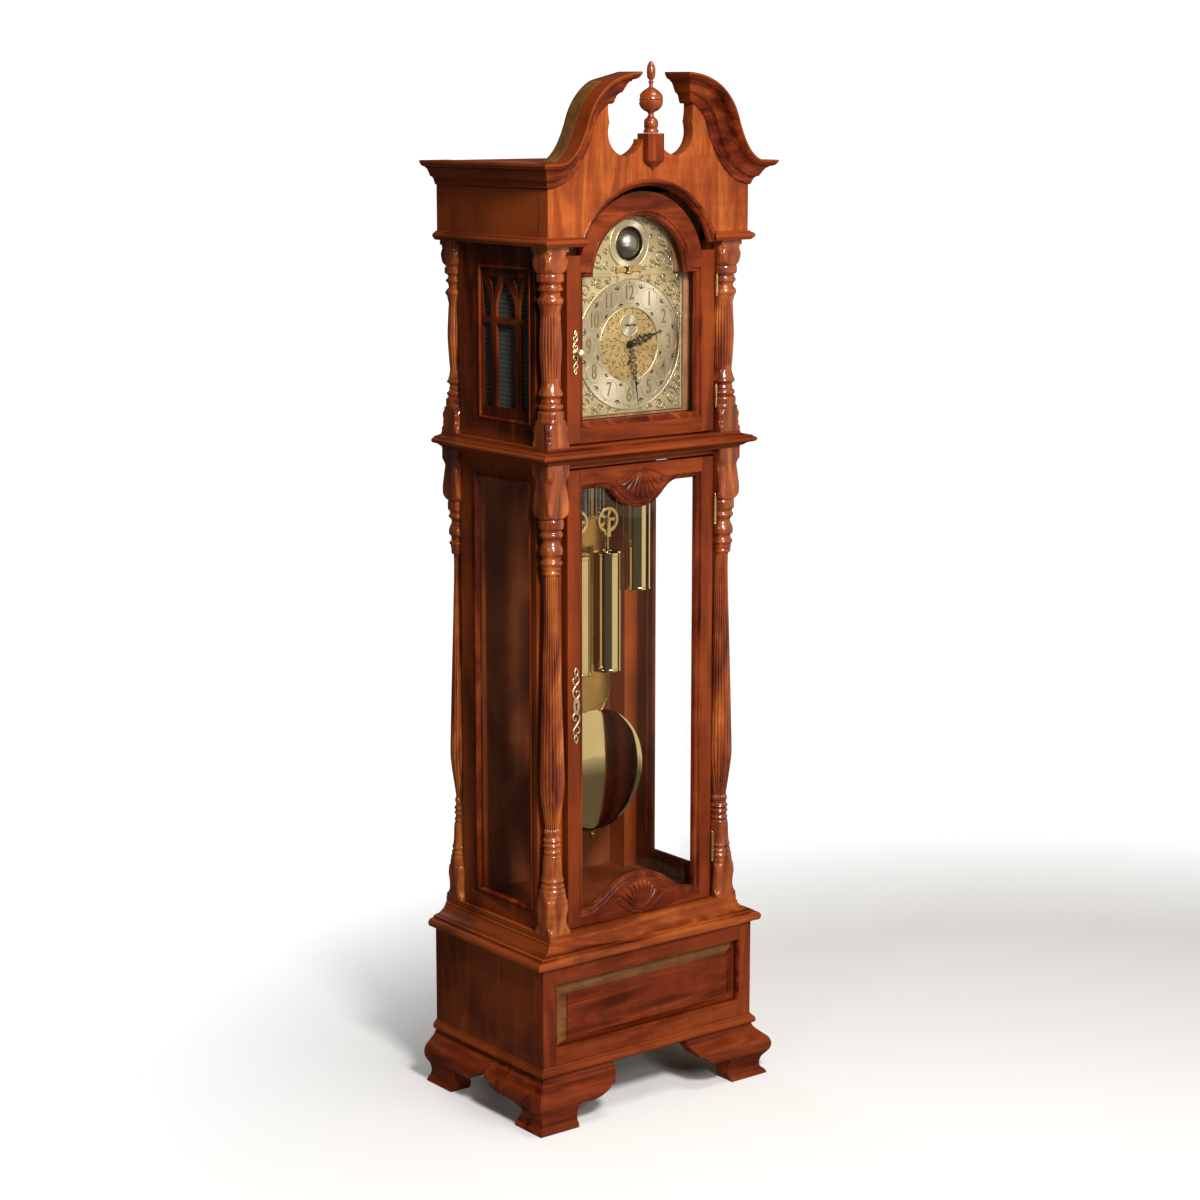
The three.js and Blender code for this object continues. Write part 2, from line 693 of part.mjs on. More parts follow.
const PLATE = { x: -170, thick: 2 };
const ESCUTCHEON = { bottom: 800, top: 953, half: 10.5, keyBottom: 868, keyTop: 884, keyHalf: 2 };
const KNOB_PLATE = { bottom: 1552, top: 1634, half: 9, knobZ: 1593 };

function doorPlate({ bottom, top, half }) {
  const face = DOOR.front - GAP;
  return block([PLATE.x - half, PLATE.x + half], [face - PLATE.thick, face], [bottom, top]);
}

function waistEscutcheon() {
  const { keyHalf, keyBottom, keyTop } = ESCUTCHEON;
  const keyWidth = [PLATE.x - keyHalf, PLATE.x + keyHalf];
  const key = block(keyWidth, [DOOR.front - 5, DOOR.front], [keyBottom, keyTop]);
  return doorPlate(ESCUTCHEON).subtract(key);
}

function hoodKnob() {
  const face = DOOR.front - GAP - PLATE.thick;
  const profile = [[0, -25], [6, -24], [9, -18], [9, -13], [5, -8], [4, 1], [0, 1]];
  const knob = turnedAcross(profile.map(([r, y]) => [r, face + y]), PLATE.x, KNOB_PLATE.knobZ);
  return join(doorPlate(KNOB_PLATE), knob);
}

add("waist_door_escutcheon", waistEscutcheon(), brass());
add("hood_door_knob", hoodKnob(), brass());

// A hinge's barrel lies on the door's axis, and its leaf on the inner face of the post.
function hinge(length) {
  const { radius } = HINGE;
  const barrel = turned([
    [0, 0], [2, 1], [radius, 5], [radius, length - 5], [2, length - 1], [0, length],
  ], 8);
  const leaf = block([2.2, radius], [0, 22], [8, length - 8]);
  return join(barrel, leaf);
}

function addHinge(name, bottom, top) {
  add(name, hinge(top - bottom), brass(), [HINGE.x, HINGE.y, bottom]);
}

addHinge("waist_door_hinge_lower", 486, 552);
addHinge("waist_door_hinge_upper", 1214, 1280);
addHinge("hood_door_hinge_lower", 1459, 1508);
addHinge("hood_door_hinge_upper", 1689, 1735);

// ---- Dial and hands ----

function circleHole(x, z, radius) {
  const hole = new THREE.Path();
  hole.absarc(x, z, radius, 0, 2 * Math.PI, false);
  return hole;
}

function dialPlate() {
  const face = archedShape({
    half: DIAL.half,
    bottom: DIAL.bottom,
    shoulder: DIAL.shoulder,
    archCentre: DIAL.shoulder,
    archRadius: DIAL.archRadius,
  });
  face.holes.push(circleHole(0, MOON.z, MOON.aperture));
  face.holes.push(circleHole(0, ARBOR.z, 7));
  face.holes.push(circleHole(0, ARBOR.secondsZ, 3));
  for (const x of [-ARBOR.windingX, ARBOR.windingX]) face.holes.push(circleHole(x, ARBOR.windingZ, 5));
  face.holes.push(circleHole(0, ARBOR.centreWindingZ, 5));
  const plate = frontSlab(face, DIAL.front, DIAL.front + DIAL.thick, 6);
  const back = MOVEMENT.front - GAP;
  const feet = [];
  for (const x of [-80, 80]) {
    for (const z of [1475, 1625]) feet.push(rodAcross(x, z, 4, DIAL.front + 1, back, 8));
  }
  return join(plate, ...feet);
}

add("dial_plate", dialPlate(), brass());

// A hand drawn pointing up from its hub, in X and Z.
function hand(outline, hubRadius, boreRadius, yFront, thick) {
  const blade = frontSlab(shapeOf(outline), yFront, yFront + thick);
  const hub = rodAcross(0, 0, hubRadius, yFront, yFront + thick, 12);
  const bore = rodAcross(0, 0, boreRadius, yFront - 1, yFront + thick + 1, 12);
  return join(blade, hub).subtract(bore);
}

const hourOutline = symmetric([
  [3, 0], [2.5, 24], [11, 34], [12, 44], [4, 54], [6, 62], [1.5, 72], [0.6, 89],
]);
const minuteOutline = symmetric([
  [2.5, 0], [2, 40], [7, 52], [7, 62], [2.5, 74], [3.5, 86], [1, 98], [0.5, 127],
]);
const secondsOutline = symmetric([[0.6, -8], [0.5, 19]]);

function addHand(name, solid, z, turns) {
  const mesh = add(name, solid, black(), [0, 0, z]);
  mesh.rotation.y = 2 * Math.PI * turns;
}

addHand("hour_hand", hand(hourOutline, 8, 3.5, -102, 1.6), ARBOR.z, (TIME.hours + TIME.minutes / 60) / 12);
addHand("minute_hand", hand(minuteOutline, 6, 3, -106, 1.6), ARBOR.z, TIME.minutes / 60);
addHand("seconds_hand", hand(secondsOutline, 2.5, 1.4, -101, 1), ARBOR.secondsZ, TIME.seconds / 60);

// The moon ball turns on an upright arbor that stands over the movement.
function moonBall() {
  const ball = new THREE.SphereGeometry(MOON.radius, 16, 10);
  ball.rotateX(Math.PI / 2);
  const arborLength = MOON.z - MOVEMENT.top - 1;
  return join(solidOf(ball), turned([[0, -arborLength], [2, -arborLength], [2, -20], [0, -20]], 8));
}

add("moon_ball", moonBall(), steel(), [0, MOON.y, MOON.z]);

// ---- Movement ----

// Two brass plates held apart by pillars, with the winding drums and the arbors that reach the dial.
function movement() {
  const { half, front, back, plate, bottom, top } = MOVEMENT;
  const foot = bottom + GAP;
  const parts = [
    block([-half, half], [front, front + plate], [foot, top]),
    block([-half, half], [back - plate, back], [foot, top]),
    block([-8, 8], [back - 1, PENDULUM.y + 8], [PENDULUM.pivot + GAP, top + 8]),
    block([-8, 8], [back - plate, back], [top - 8, top + 8]),
    rodAcross(0, ARBOR.z, PULLEY.axle, -109, back - 1),
    rodAcross(0, ARBOR.secondsZ, 1, -103, front + 1, 8),
  ];
  const winders = [
    [-ARBOR.windingX, ARBOR.windingZ],
    [0, ARBOR.centreWindingZ],
    [ARBOR.windingX, ARBOR.windingZ],
  ];
  for (const [x, z] of winders) {
    parts.push(rodAcross(x, z, 20, front + 1, back - 1, 12));
    parts.push(rodAcross(x, z, 3, DIAL.front + 1, front + 1, 8));
  }
  for (const x of [-84, 84]) {
    for (const z of [foot + 10, top - 10]) parts.push(rodAcross(x, z, 5, front + 1, back - 1, 8));
  }
  return join(...parts);
}

add("movement", movement(), brass());

const trains = { left: -WEIGHT.spacing, center: 0, right: WEIGHT.spacing };

// The board that the movement stands on, slotted for the cables.
function seatBoard() {
  const { thick, front, back } = SEAT_BOARD;
  const top = MOVEMENT.bottom;
  const reach = SIDE.inner - GAP;
  const board = block([-reach, reach], [front, back], [top - thick, top]);
  const slot = (x) => block([x - 30, x + 30], [WEIGHT.y - 8, WEIGHT.y + 8], [top - thick - 1, top + 1]);
  return Object.values(trains).reduce((left, x) => left.subtract(slot(x)), board);
}

add("seat_board", seatBoard(), plywood());

// ---- Weights, pulleys and cables ----

// A brass shell with rims, a hook and a stirrup that holds the pulley's axle. Its origin is its lower end.
function weight() {
  const { radius, length } = WEIGHT;
  const axleZ = length + PULLEY.aboveWeight;
  const shell = turned([
    [0, 0], [radius - 3, 0], [radius, 4], [radius, length - 4], [radius - 3, length], [3, length + 3],
    [3, axleZ - 35], [0, axleZ - 35],
  ], 16);
  const cheek = { inner: PULLEY.half + 1, outer: PULLEY.half + 3, half: 5 };
  const yoke = block([-cheek.half, cheek.half], [-cheek.outer, cheek.outer], [axleZ - 36, axleZ - 31]);
  const arm = (y0, y1) => block([-cheek.half, cheek.half], [y0, y1], [axleZ - 33, axleZ + 5]);
  const axle = rodAcross(0, axleZ, PULLEY.axle, -cheek.inner - 1, cheek.inner + 1);
  return join(shell, yoke, arm(-cheek.outer, -cheek.inner), arm(cheek.inner, cheek.outer), axle);
}

// A grooved wheel, turned round a closed profile.
function pulley() {
  const { radius, half, axle } = PULLEY;
  const bore = axle + GAP;
  const groove = radius - 4.5;
  return turnedAcross([
    [bore, -half], [radius, -half], [radius, -3], [groove, -0.8], [groove, 0.8], [radius, 3],
    [radius, half], [bore, half], [bore, -half],
  ], 0, 0, 16);
}

// A cable comes down one side of the pulley, passes under it and goes up the other side.
function cable(length) {
  const { ropeRadius } = PULLEY;
  const section = new THREE.Shape();
  section.absarc(0, 0, CABLE_RADIUS, 0, 2 * Math.PI, false);
  const steps = 12;
  const socket = 3;
  const arc = [new THREE.Vector3(-ropeRadius, 0, socket)];
  for (let i = 0; i <= steps; i++) {
    const angle = Math.PI + (Math.PI * i) / steps;
    arc.push(new THREE.Vector3(ropeRadius * Math.cos(angle), 0, ropeRadius * Math.sin(angle)));
  }
  arc.push(new THREE.Vector3(ropeRadius, 0, socket));
  const bend = new THREE.ExtrudeGeometry(section, {
    steps,
    curveSegments: 4,
    extrudePath: new THREE.CatmullRomCurve3(arc),
  });
  const sleeve = CABLE_RADIUS + 0.2;
  const fall = (x) => turned([[0, 1], [sleeve, 1], [sleeve, length], [0, length]], 8).translate([x, 0, 0]);
  return join(solidOf(bend), fall(-ropeRadius), fall(ropeRadius));
}

for (const [train, x] of Object.entries(trains)) {
  const top = WEIGHT_TOPS[train];
  const pulleyZ = top + PULLEY.aboveWeight;
  add(`weight_${train}`, weight(), brass(), [x, WEIGHT.y, top - WEIGHT.length]);
  add(`pulley_${train}`, pulley(), brass(), [x, WEIGHT.y, pulleyZ]);
  add(`cable_${train}`, cable(MOVEMENT.bottom - pulleyZ), silver(), [x, WEIGHT.y, pulleyZ]);
}

// ---- Pendulum ----

function pendulum() {
  const { y, pivot, bobCentre, bobRadius, bobHalf } = PENDULUM;
  const rod = block([-4, 4], [y - 1.5, y + 1.5], [bobCentre - bobRadius - 14, pivot - 1]);
  const edge = bobHalf / 3;
  const bob = turnedAcross([
    [0, y - bobHalf], [bobRadius * 0.7, y - bobHalf + 3], [bobRadius, y - edge], [bobRadius, y + edge],
    [bobRadius * 0.7, y + bobHalf - 3], [0, y + bobHalf],
  ], 0, bobCentre, 28);
  const plate = symmetric([[20, 800], [47, 850], [36, 930], [30, 1050], [38, 1180], [20, 1230]]);
  return join(rod, bob, frontSlab(shapeOf(plate), y - 4, y - 1));
}

add("pendulum", pendulum(), brass());

// ---- Chime rods ----

function chimeRods() {
  const { rods, firstX, pitch, y, top, bottom, radius } = CHIME;
  const lastX = firstX + (rods - 1) * pitch;
  const parts = [block([firstX - 12, lastX + 12], [y - 12, BACK - BACK_BOARD - GAP], [top, top + 26])];
  for (let i = 0; i < rods; i++) {
    const end = bottom + i * 6;
    const tube = turned([[0, end], [radius, end], [radius, top + 1], [0, top + 1]], 6);
    parts.push(tube.translate([firstX + i * pitch, y, 0]));
  }
  return join(...parts);
}

add("chime_rods", chimeRods(), steel());

export default clock;
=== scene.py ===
"""The looks of a longcase clock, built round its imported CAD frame.

Sizes are in millimetres in the frame's own axes: +X right, +Y back, +Z up, with the origin on the floor.
MM turns them into metres where a mesh is made.
"""

import json
import math

import bmesh
import bpy
from mathutils import Matrix, Vector
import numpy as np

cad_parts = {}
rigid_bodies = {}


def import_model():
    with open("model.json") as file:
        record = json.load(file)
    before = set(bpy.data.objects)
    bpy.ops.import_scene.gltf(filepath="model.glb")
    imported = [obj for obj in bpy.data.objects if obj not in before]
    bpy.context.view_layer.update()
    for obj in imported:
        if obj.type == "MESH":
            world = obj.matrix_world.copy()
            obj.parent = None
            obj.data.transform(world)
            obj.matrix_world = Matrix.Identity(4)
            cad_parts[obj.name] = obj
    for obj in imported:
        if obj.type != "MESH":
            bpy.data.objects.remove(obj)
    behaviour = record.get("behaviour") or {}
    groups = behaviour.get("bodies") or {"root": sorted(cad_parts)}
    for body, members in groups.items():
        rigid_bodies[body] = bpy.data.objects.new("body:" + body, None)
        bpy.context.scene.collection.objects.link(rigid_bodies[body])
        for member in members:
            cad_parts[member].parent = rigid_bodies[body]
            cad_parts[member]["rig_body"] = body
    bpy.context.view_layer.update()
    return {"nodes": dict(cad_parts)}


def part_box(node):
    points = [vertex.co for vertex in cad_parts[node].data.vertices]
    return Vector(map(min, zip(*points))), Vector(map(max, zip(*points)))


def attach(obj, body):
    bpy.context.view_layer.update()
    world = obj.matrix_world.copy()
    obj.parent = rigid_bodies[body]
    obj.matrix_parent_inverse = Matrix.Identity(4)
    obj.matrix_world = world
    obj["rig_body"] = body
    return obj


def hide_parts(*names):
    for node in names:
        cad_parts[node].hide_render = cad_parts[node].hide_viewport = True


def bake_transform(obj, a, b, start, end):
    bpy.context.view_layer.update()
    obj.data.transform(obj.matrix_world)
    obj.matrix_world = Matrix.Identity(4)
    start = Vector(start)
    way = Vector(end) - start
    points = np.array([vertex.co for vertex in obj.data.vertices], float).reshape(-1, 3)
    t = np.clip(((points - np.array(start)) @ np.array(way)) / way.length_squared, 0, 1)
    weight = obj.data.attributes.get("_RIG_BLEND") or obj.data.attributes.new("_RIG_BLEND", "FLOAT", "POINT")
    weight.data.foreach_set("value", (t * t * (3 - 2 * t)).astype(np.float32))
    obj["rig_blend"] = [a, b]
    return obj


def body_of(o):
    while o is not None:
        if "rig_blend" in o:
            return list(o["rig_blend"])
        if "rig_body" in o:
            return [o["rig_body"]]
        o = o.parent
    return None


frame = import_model()

MM = 0.001
SIDES = {"left": -1, "right": 1}


def span(node):
    """The lowest and highest corner of a CAD node, in millimetres."""
    low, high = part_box(node)
    return low / MM, high / MM


# ---- Driving sizes, read from the frame ----

base_low, base_high = span("base_case")
BASE_HALF, BASE_FRONT = base_high.x, base_low.y
BASE_BOTTOM, BASE_TOP = base_low.z, base_high.z
BACK = span("back_board")[1].y

post_low, post_high = span("waist_post_front_right")
POST_HALF = (post_high.x - post_low.x) / 2
POST_X = (post_high.x + post_low.x) / 2
POST_FRONT_Y = (post_high.y + post_low.y) / 2
WAIST_BOTTOM, WAIST_TOP = post_low.z, post_high.z
WAIST_HALF, WAIST_FRONT = post_high.x, post_low.y
HOOD_BOTTOM, HOOD_TOP = (span("hood_post_front_right")[i].z for i in (0, 1))
POST_BACK_Y = sum(corner.y for corner in span("waist_post_back_right")) / 2

FASCIA_HALF = span("hood_side_right")[1].x + 0.6
FASCIA_FRONT = -167
FASCIA_BOARD = 30
CORNICE_TOP = 1965
GAP = 0.3

door_low, door_high = span("waist_door_frame")
DOOR_FRONT, DOOR_BACK, DOOR_HALF = door_low.y, door_high.y, door_high.x
WAIST_DOOR_BOTTOM, WAIST_DOOR_TOP = door_low.z, door_high.z
HOOD_DOOR_BOTTOM = span("hood_door_frame")[0].z

# ---- Plane and profile helpers ----


def between(a, b, t):
    return a + (b - a) * t


def curve_through(points, steps=6):
    """A smooth line through the points, which keeps its two ends."""
    if len(points) < 3:
        return [tuple(p) for p in points]
    padded = [points[0], *points, points[-1]]
    line = []
    for i in range(len(points) - 1):
        for s in range(steps):
            t = s / steps
            line.append(tuple(catmull(*c, t) for c in zip(*padded[i : i + 4])))
    line.append(tuple(points[-1]))
    return line


def catmull(a, b, c, d, t):
    return 0.5 * (2 * b + (c - a) * t + (2 * a - 5 * b + 4 * c - d) * t**2 + (3 * b - a - 3 * c + d) * t**3)


def moulded(*runs):
    """A moulding's profile. Each run is smooth, and two runs meet in a sharp corner."""
    line = []
    for run in runs:
        for point in curve_through(run, 5):
            if not line or math.dist(line[-1], point) > 0.05:
                line.append(point)
    return line


def bezier(a, b, c, d, steps):
    """Points on a cubic Bezier curve, without its last point."""
    line = []
    for s in range(steps):
        t = s / steps
        k = ((1 - t) ** 3, 3 * t * (1 - t) ** 2, 3 * t * t * (1 - t), t**3)
        line.append(tuple(sum(w * p[i] for w, p in zip(k, (a, b, c, d))) for i in (0, 1)))
    return line


def arc(centre, radius, start, end, steps):
    """Points on a round arc. Angles are in degrees, from +X and anticlockwise."""
    angles = [math.radians(between(start, end, s / steps)) for s in range(steps + 1)]
    return [(centre[0] + radius * math.cos(a), centre[1] + radius * math.sin(a)) for a in angles]


def circle(centre, radius, steps):
    return arc(centre, radius, 0, 360, steps)[:-1]


def rectangle(x0, x1, z0, z1):
    return [(x0, z0), (x1, z0), (x1, z1), (x0, z1)]


def mirrored(line, sign):
    """The line itself for a sign of 1, or its mirror image across X = 0 for -1."""
    return [(sign * u, v) for u, v in line]


def offset_loop(loop, distance):
    """A closed anticlockwise loop moved outwards by distance, with mitred corners."""
    moved = []
    for i, point in enumerate(loop):
        before = Vector(point) - Vector(loop[i - 1])
        after = Vector(loop[(i + 1) % len(loop)]) - Vector(point)
        a = Vector((before.y, -before.x)).normalized()
        b = Vector((after.y, -after.x)).normalized()
        out = (a + b) / max(0.3, 1 + a.dot(b))
        moved.append((point[0] + distance * out.x, point[1] + distance * out.y))
    return moved


def slope_limited(values, knots):
    """Slopes of a curve through the knots that never overshoots them."""
    steps = [(values[i + 1] - values[i]) / (knots[i + 1] - knots[i]) for i in range(len(knots) - 1)]
    slopes = [steps[0]]
    for a, b in zip(steps, steps[1:]):
        slopes.append(0 if a * b <= 0 else 2 * a * b / (a + b))
    return slopes + [steps[-1]]


def turning(points, step):
    """(height, radius) samples of a turned shape through the points, close enough together to look round."""
    knots = [z for z, _ in points]
    values = [r for _, r in points]
    slopes = slope_limited(values, knots)
    line = []
    for i in range(len(points) - 1):
        h = knots[i + 1] - knots[i]
        count = max(2, round(h / step))
        for s in range(count):
            t = s / count
            radius = (
                (1 + 2 * t) * (1 - t) ** 2 * values[i]
                + t * (1 - t) ** 2 * h * slopes[i]
                + t * t * (3 - 2 * t) * values[i + 1]
                + t * t * (t - 1) * h * slopes[i + 1]
            )
            line.append((knots[i] + t * h, radius))
    return line + [points[-1]]


def spiral(centre, radius, start, turns, inner, steps=26):
    """A volute that winds inwards from radius. turns is negative for a clockwise one."""
    line = []
    for s in range(steps + 1):
        t = s / steps
        a = math.radians(start) + 2 * math.pi * turns * t
        r = radius * between(1, inner, t**0.8)
        line.append((centre[0] + r * math.cos(a), centre[1] + r * math.sin(a)))
    return line


# ---- Pieces ----

FINISHES = {}


def dress(obj, finish, body="case", stands_for=(), more=()):
    """Gives a piece its material and the body that it rides on."""
    material, slot = FINISHES[finish]
    if obj.type == "MESH" and not obj.data.materials:
        obj.data.materials.append(material)
        for name in more:
            obj.data.materials.append(FINISHES[name][0])
    if body:
        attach(obj, body)
    if stands_for:
        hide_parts(*([stands_for] if isinstance(stands_for, str) else stands_for))
    return obj


def link(name, mesh):
    obj = bpy.data.objects.new(name, mesh)
    bpy.context.scene.collection.objects.link(obj)
    return obj


def made(name, verts, faces, sharp=32, face_finish=None):
    """A mesh object from points in millimetres, with its faces turned outwards and its sharp edges marked."""
    mesh = bpy.data.meshes.new(name)
    mesh.from_pydata([Vector(v) * MM for v in verts], [], faces)
    if face_finish:
        for polygon, index in zip(mesh.polygons, face_finish):
            polygon.material_index = index
    tidy_mesh(mesh, sharp)
    return link(name, mesh)


def tidy_mesh(mesh, sharp):
    """Turns the faces outwards and marks the edges that are sharper than an angle in degrees."""
    bm = bmesh.new()
    bm.from_mesh(mesh)
    bmesh.ops.recalc_face_normals(bm, faces=bm.faces)
    bm.to_mesh(mesh)
    bm.free()
    mesh.polygons.foreach_set("use_smooth", [True] * len(mesh.polygons))
    mesh.set_sharp_from_angle(angle=math.radians(sharp))


def baked(obj):
    """A mesh of an object as its modifiers or its curve settings make it."""
    bpy.context.view_layer.update()
    return bpy.data.meshes.new_from_object(obj.evaluated_get(bpy.context.evaluated_depsgraph_get()))


def apply_modifiers(obj):
    mesh = baked(obj)
    obj.modifiers.clear()
    obj.data = mesh


def soften(obj, width):
    """Eases the sharp edges of a piece, and keeps its flat faces flat to the eye."""
    bevel = obj.modifiers.new("eased edges", "BEVEL")
    bevel.width = width * MM
    bevel.segments = 2
    bevel.limit_method = "ANGLE"
    bevel.angle_limit = math.radians(38)
    bevel.harden_normals = True
    return obj


def band(count, low, high):
    """Faces between two rings of count points each. low and high number the rings."""
    faces = []
    for i in range(count):
        j = (i + 1) % count
        faces.append((low * count + i, low * count + j, high * count + j, high * count + i))
    return faces


def sheet_faces(columns, rows):
    """Faces of a sheet whose points are listed row by row."""
    wide = columns + 1
    corners = [r * wide + c for r in range(rows) for c in range(columns)]
    return [(a, a + 1, a + wide + 1, a + wide) for a in corners]


def sweep(name, profile, stations, sharp=32, segment_finish=None):
    """Carries a closed profile through stations, each a function that places one profile point."""
    size, last = len(profile), len(stations) - 1
    verts = [place(*point) for place in stations for point in profile]
    segment_finish = segment_finish or [0] * last
    faces, finish = [], []
    for s in range(last):
        faces += band(size, s, s + 1)
        finish += [segment_finish[s]] * size
    faces += [tuple(range(size)), tuple(last * size + k for k in range(size))]
    finish += [finish[0], finish[-1]]
    return made(name, verts, faces, sharp, finish)


def outwards(x, y, dx, dy):
    """A station at (x, y) for a profile of (outwards, height) points. Outwards is along (dx, dy)."""
    return lambda out, z: (x + dx * out, y + dy * out, z)


def lathe(name, profile, centre, axis, segments):
    """Turns (radius, height) points round an axis through centre. Points on the axis close the shape."""
    verts, faces, rings = [], [], []
    for radius, height in profile:
        ring = []
        for s in range(segments if radius > 1e-6 else 1):
            a = 2 * math.pi * s / segments
            u, v = radius * math.cos(a), radius * math.sin(a)
            offset = {"z": (u, v, height), "y": (u, height, v), "x": (height, u, v)}[axis]
            ring.append(len(verts))
            verts.append(tuple(c + o for c, o in zip(centre, offset)))
        rings.append(ring)
    for low, high in zip(rings, rings[1:]):
        for s in range(segments):
            t = (s + 1) % segments
            corners = [low[s % len(low)], low[t % len(low)], high[t % len(high)], high[s % len(high)]]
            face = tuple(dict.fromkeys(corners))
            if len(face) > 2:
                faces.append(face)
    return made(name, verts, faces)


def board(name, x, y, z, eased):
    """A straight board between two values on each axis."""
    verts = [(a, b, c) for a in x for b in y for c in z]
    faces = [(0, 1, 3, 2), (4, 6, 7, 5), (0, 4, 5, 1), (2, 3, 7, 6), (0, 2, 6, 4), (1, 5, 7, 3)]
    return soften(made(name, verts, faces), eased)


def upright(x=0, y=0, z=0, narrow=1, flatten=1):
    """Stands a shape that is drawn flat up in X and Z, at a place in millimetres."""
    return Matrix(((narrow, 0, 0, x * MM), (0, 0, -flatten, y * MM), (0, 1, 0, z * MM), (0, 0, 0, 1)))


def plate(name, outline, holes=(), *, near, far, eased, across="y"):
    """A flat piece cut to an outline in X and Z, from y = near to y = far. across="x" draws it in Y and Z."""
    curve = bpy.data.curves.new(name, "CURVE")
    curve.dimensions = "2D"
    curve.fill_mode = "BOTH"
    for loop in (outline, *holes):
        spline = curve.splines.new("POLY")
        spline.points.add(len(loop) - 1)
        for point, (u, v) in zip(spline.points, loop):
            point.co = (u * MM, v * MM, 0, 1)
        spline.use_cyclic_u = True
    curve.extrude = (abs(far - near) / 2 - eased) * MM
    curve.bevel_depth = eased * MM
    curve.bevel_resolution = 1
    curve.offset = -eased * MM
    middle = (near + far) / 2
    turn = upright(y=middle)
    if across == "x":
        turn = Matrix(((0, 0, 1, middle * MM), (1, 0, 0, 0), (0, 1, 0, 0), (0, 0, 0, 1)))
    return from_curve(name, curve, turn, 40)


def from_curve(name, curve, turn, sharp):
    """A mesh object from a curve or text, with its points welded and its normals kept flat on flat faces."""
    carrier = link(name + ".curve", curve)
    mesh = baked(carrier)
    bpy.data.objects.remove(carrier)
    mesh.transform(turn)
    mesh.name = name
    bm = bmesh.new()
    bm.from_mesh(mesh)
    bmesh.ops.remove_doubles(bm, verts=bm.verts, dist=0.01 * MM)
    bm.to_mesh(mesh)
    bm.free()
    mesh.materials.clear()
    tidy_mesh(mesh, sharp)
    obj = link(name, mesh)
    obj.modifiers.new("flat faces", "WEIGHTED_NORMAL").keep_sharp = True
    return obj


def wires(name, lines, radius, y, closed=False, flatten=1.0):
    """Round wires along lines in X and Z, joined as one piece. A third value on a point scales the radius."""
    curve = bpy.data.curves.new(name, "CURVE")
    curve.dimensions = "3D"
    curve.bevel_depth = radius * MM
    curve.bevel_resolution = 2
    curve.use_fill_caps = True
    for line in lines:
        spline = curve.splines.new("POLY")
        spline.points.add(len(line) - 1)
        taper = len(line[0]) > 2
        for point, place in zip(spline.points, line):
            point.co = (place[0] * MM, place[1] * MM, 0, 1)
            point.radius = place[2] if taper else 1
        spline.use_cyclic_u = closed
    return from_curve(name, curve, upright(y=y, flatten=flatten), 60)


def joined(name, pieces):
    """Several meshes with the same finish as one piece."""
    keep = pieces[0]
    for piece in pieces:
        if piece.modifiers:
            apply_modifiers(piece)
    with bpy.context.temp_override(
        active_object=keep, selected_editable_objects=list(pieces), object=keep, selected_objects=list(pieces)
    ):
        bpy.ops.object.join()
    keep.name = name
    keep.data.name = name
    return keep


def ring_moulding(name, loop, profile, place):
    """A moulding round an opening. Each (outwards, depth) point of the profile is one offset of the loop."""
    rings = [[place(u, v, depth) for u, v in offset_loop(loop, out)] for out, depth in profile]
    verts = [point for ring in rings for point in ring]
    faces = []
    for r in range(len(rings)):
        faces += band(len(loop), r, (r + 1) % len(rings))
    return made(name, verts, faces)


def in_front(u, v, depth):
    return (u, depth, v)


# ---- Materials ----


class Tree:
    """Short names for making the nodes of a material or a world."""

    def __init__(self, tree):
        self.tree = tree

    def add(self, kind, inputs=None, **settings):
        node = self.tree.nodes.new(kind)
        for key, value in settings.items():
            setattr(node, key, value)
        for key, value in (inputs or {}).items():
            self.put(node.inputs[key], value)
        return node

    def put(self, socket, value):
        if isinstance(value, bpy.types.NodeSocket):
            self.tree.links.new(value, socket)
        elif isinstance(value, tuple) and len(value) == 3 and len(socket.default_value) == 4:
            socket.default_value = (*value, 1)
        else:
            socket.default_value = value

    def ramp(self, value, *stops):
        """Each stop is a position with its colour or grey."""
        node = self.add("ShaderNodeValToRGB", {"Fac": value})
        elements = node.color_ramp.elements
        while len(elements) < len(stops):
            elements.new(0.5)
        for element, (position, colour) in zip(elements, stops):
            element.position = position
            element.color = (*colour, 1) if isinstance(colour, tuple) else (colour, colour, colour, 1)
        return node.outputs["Color"]


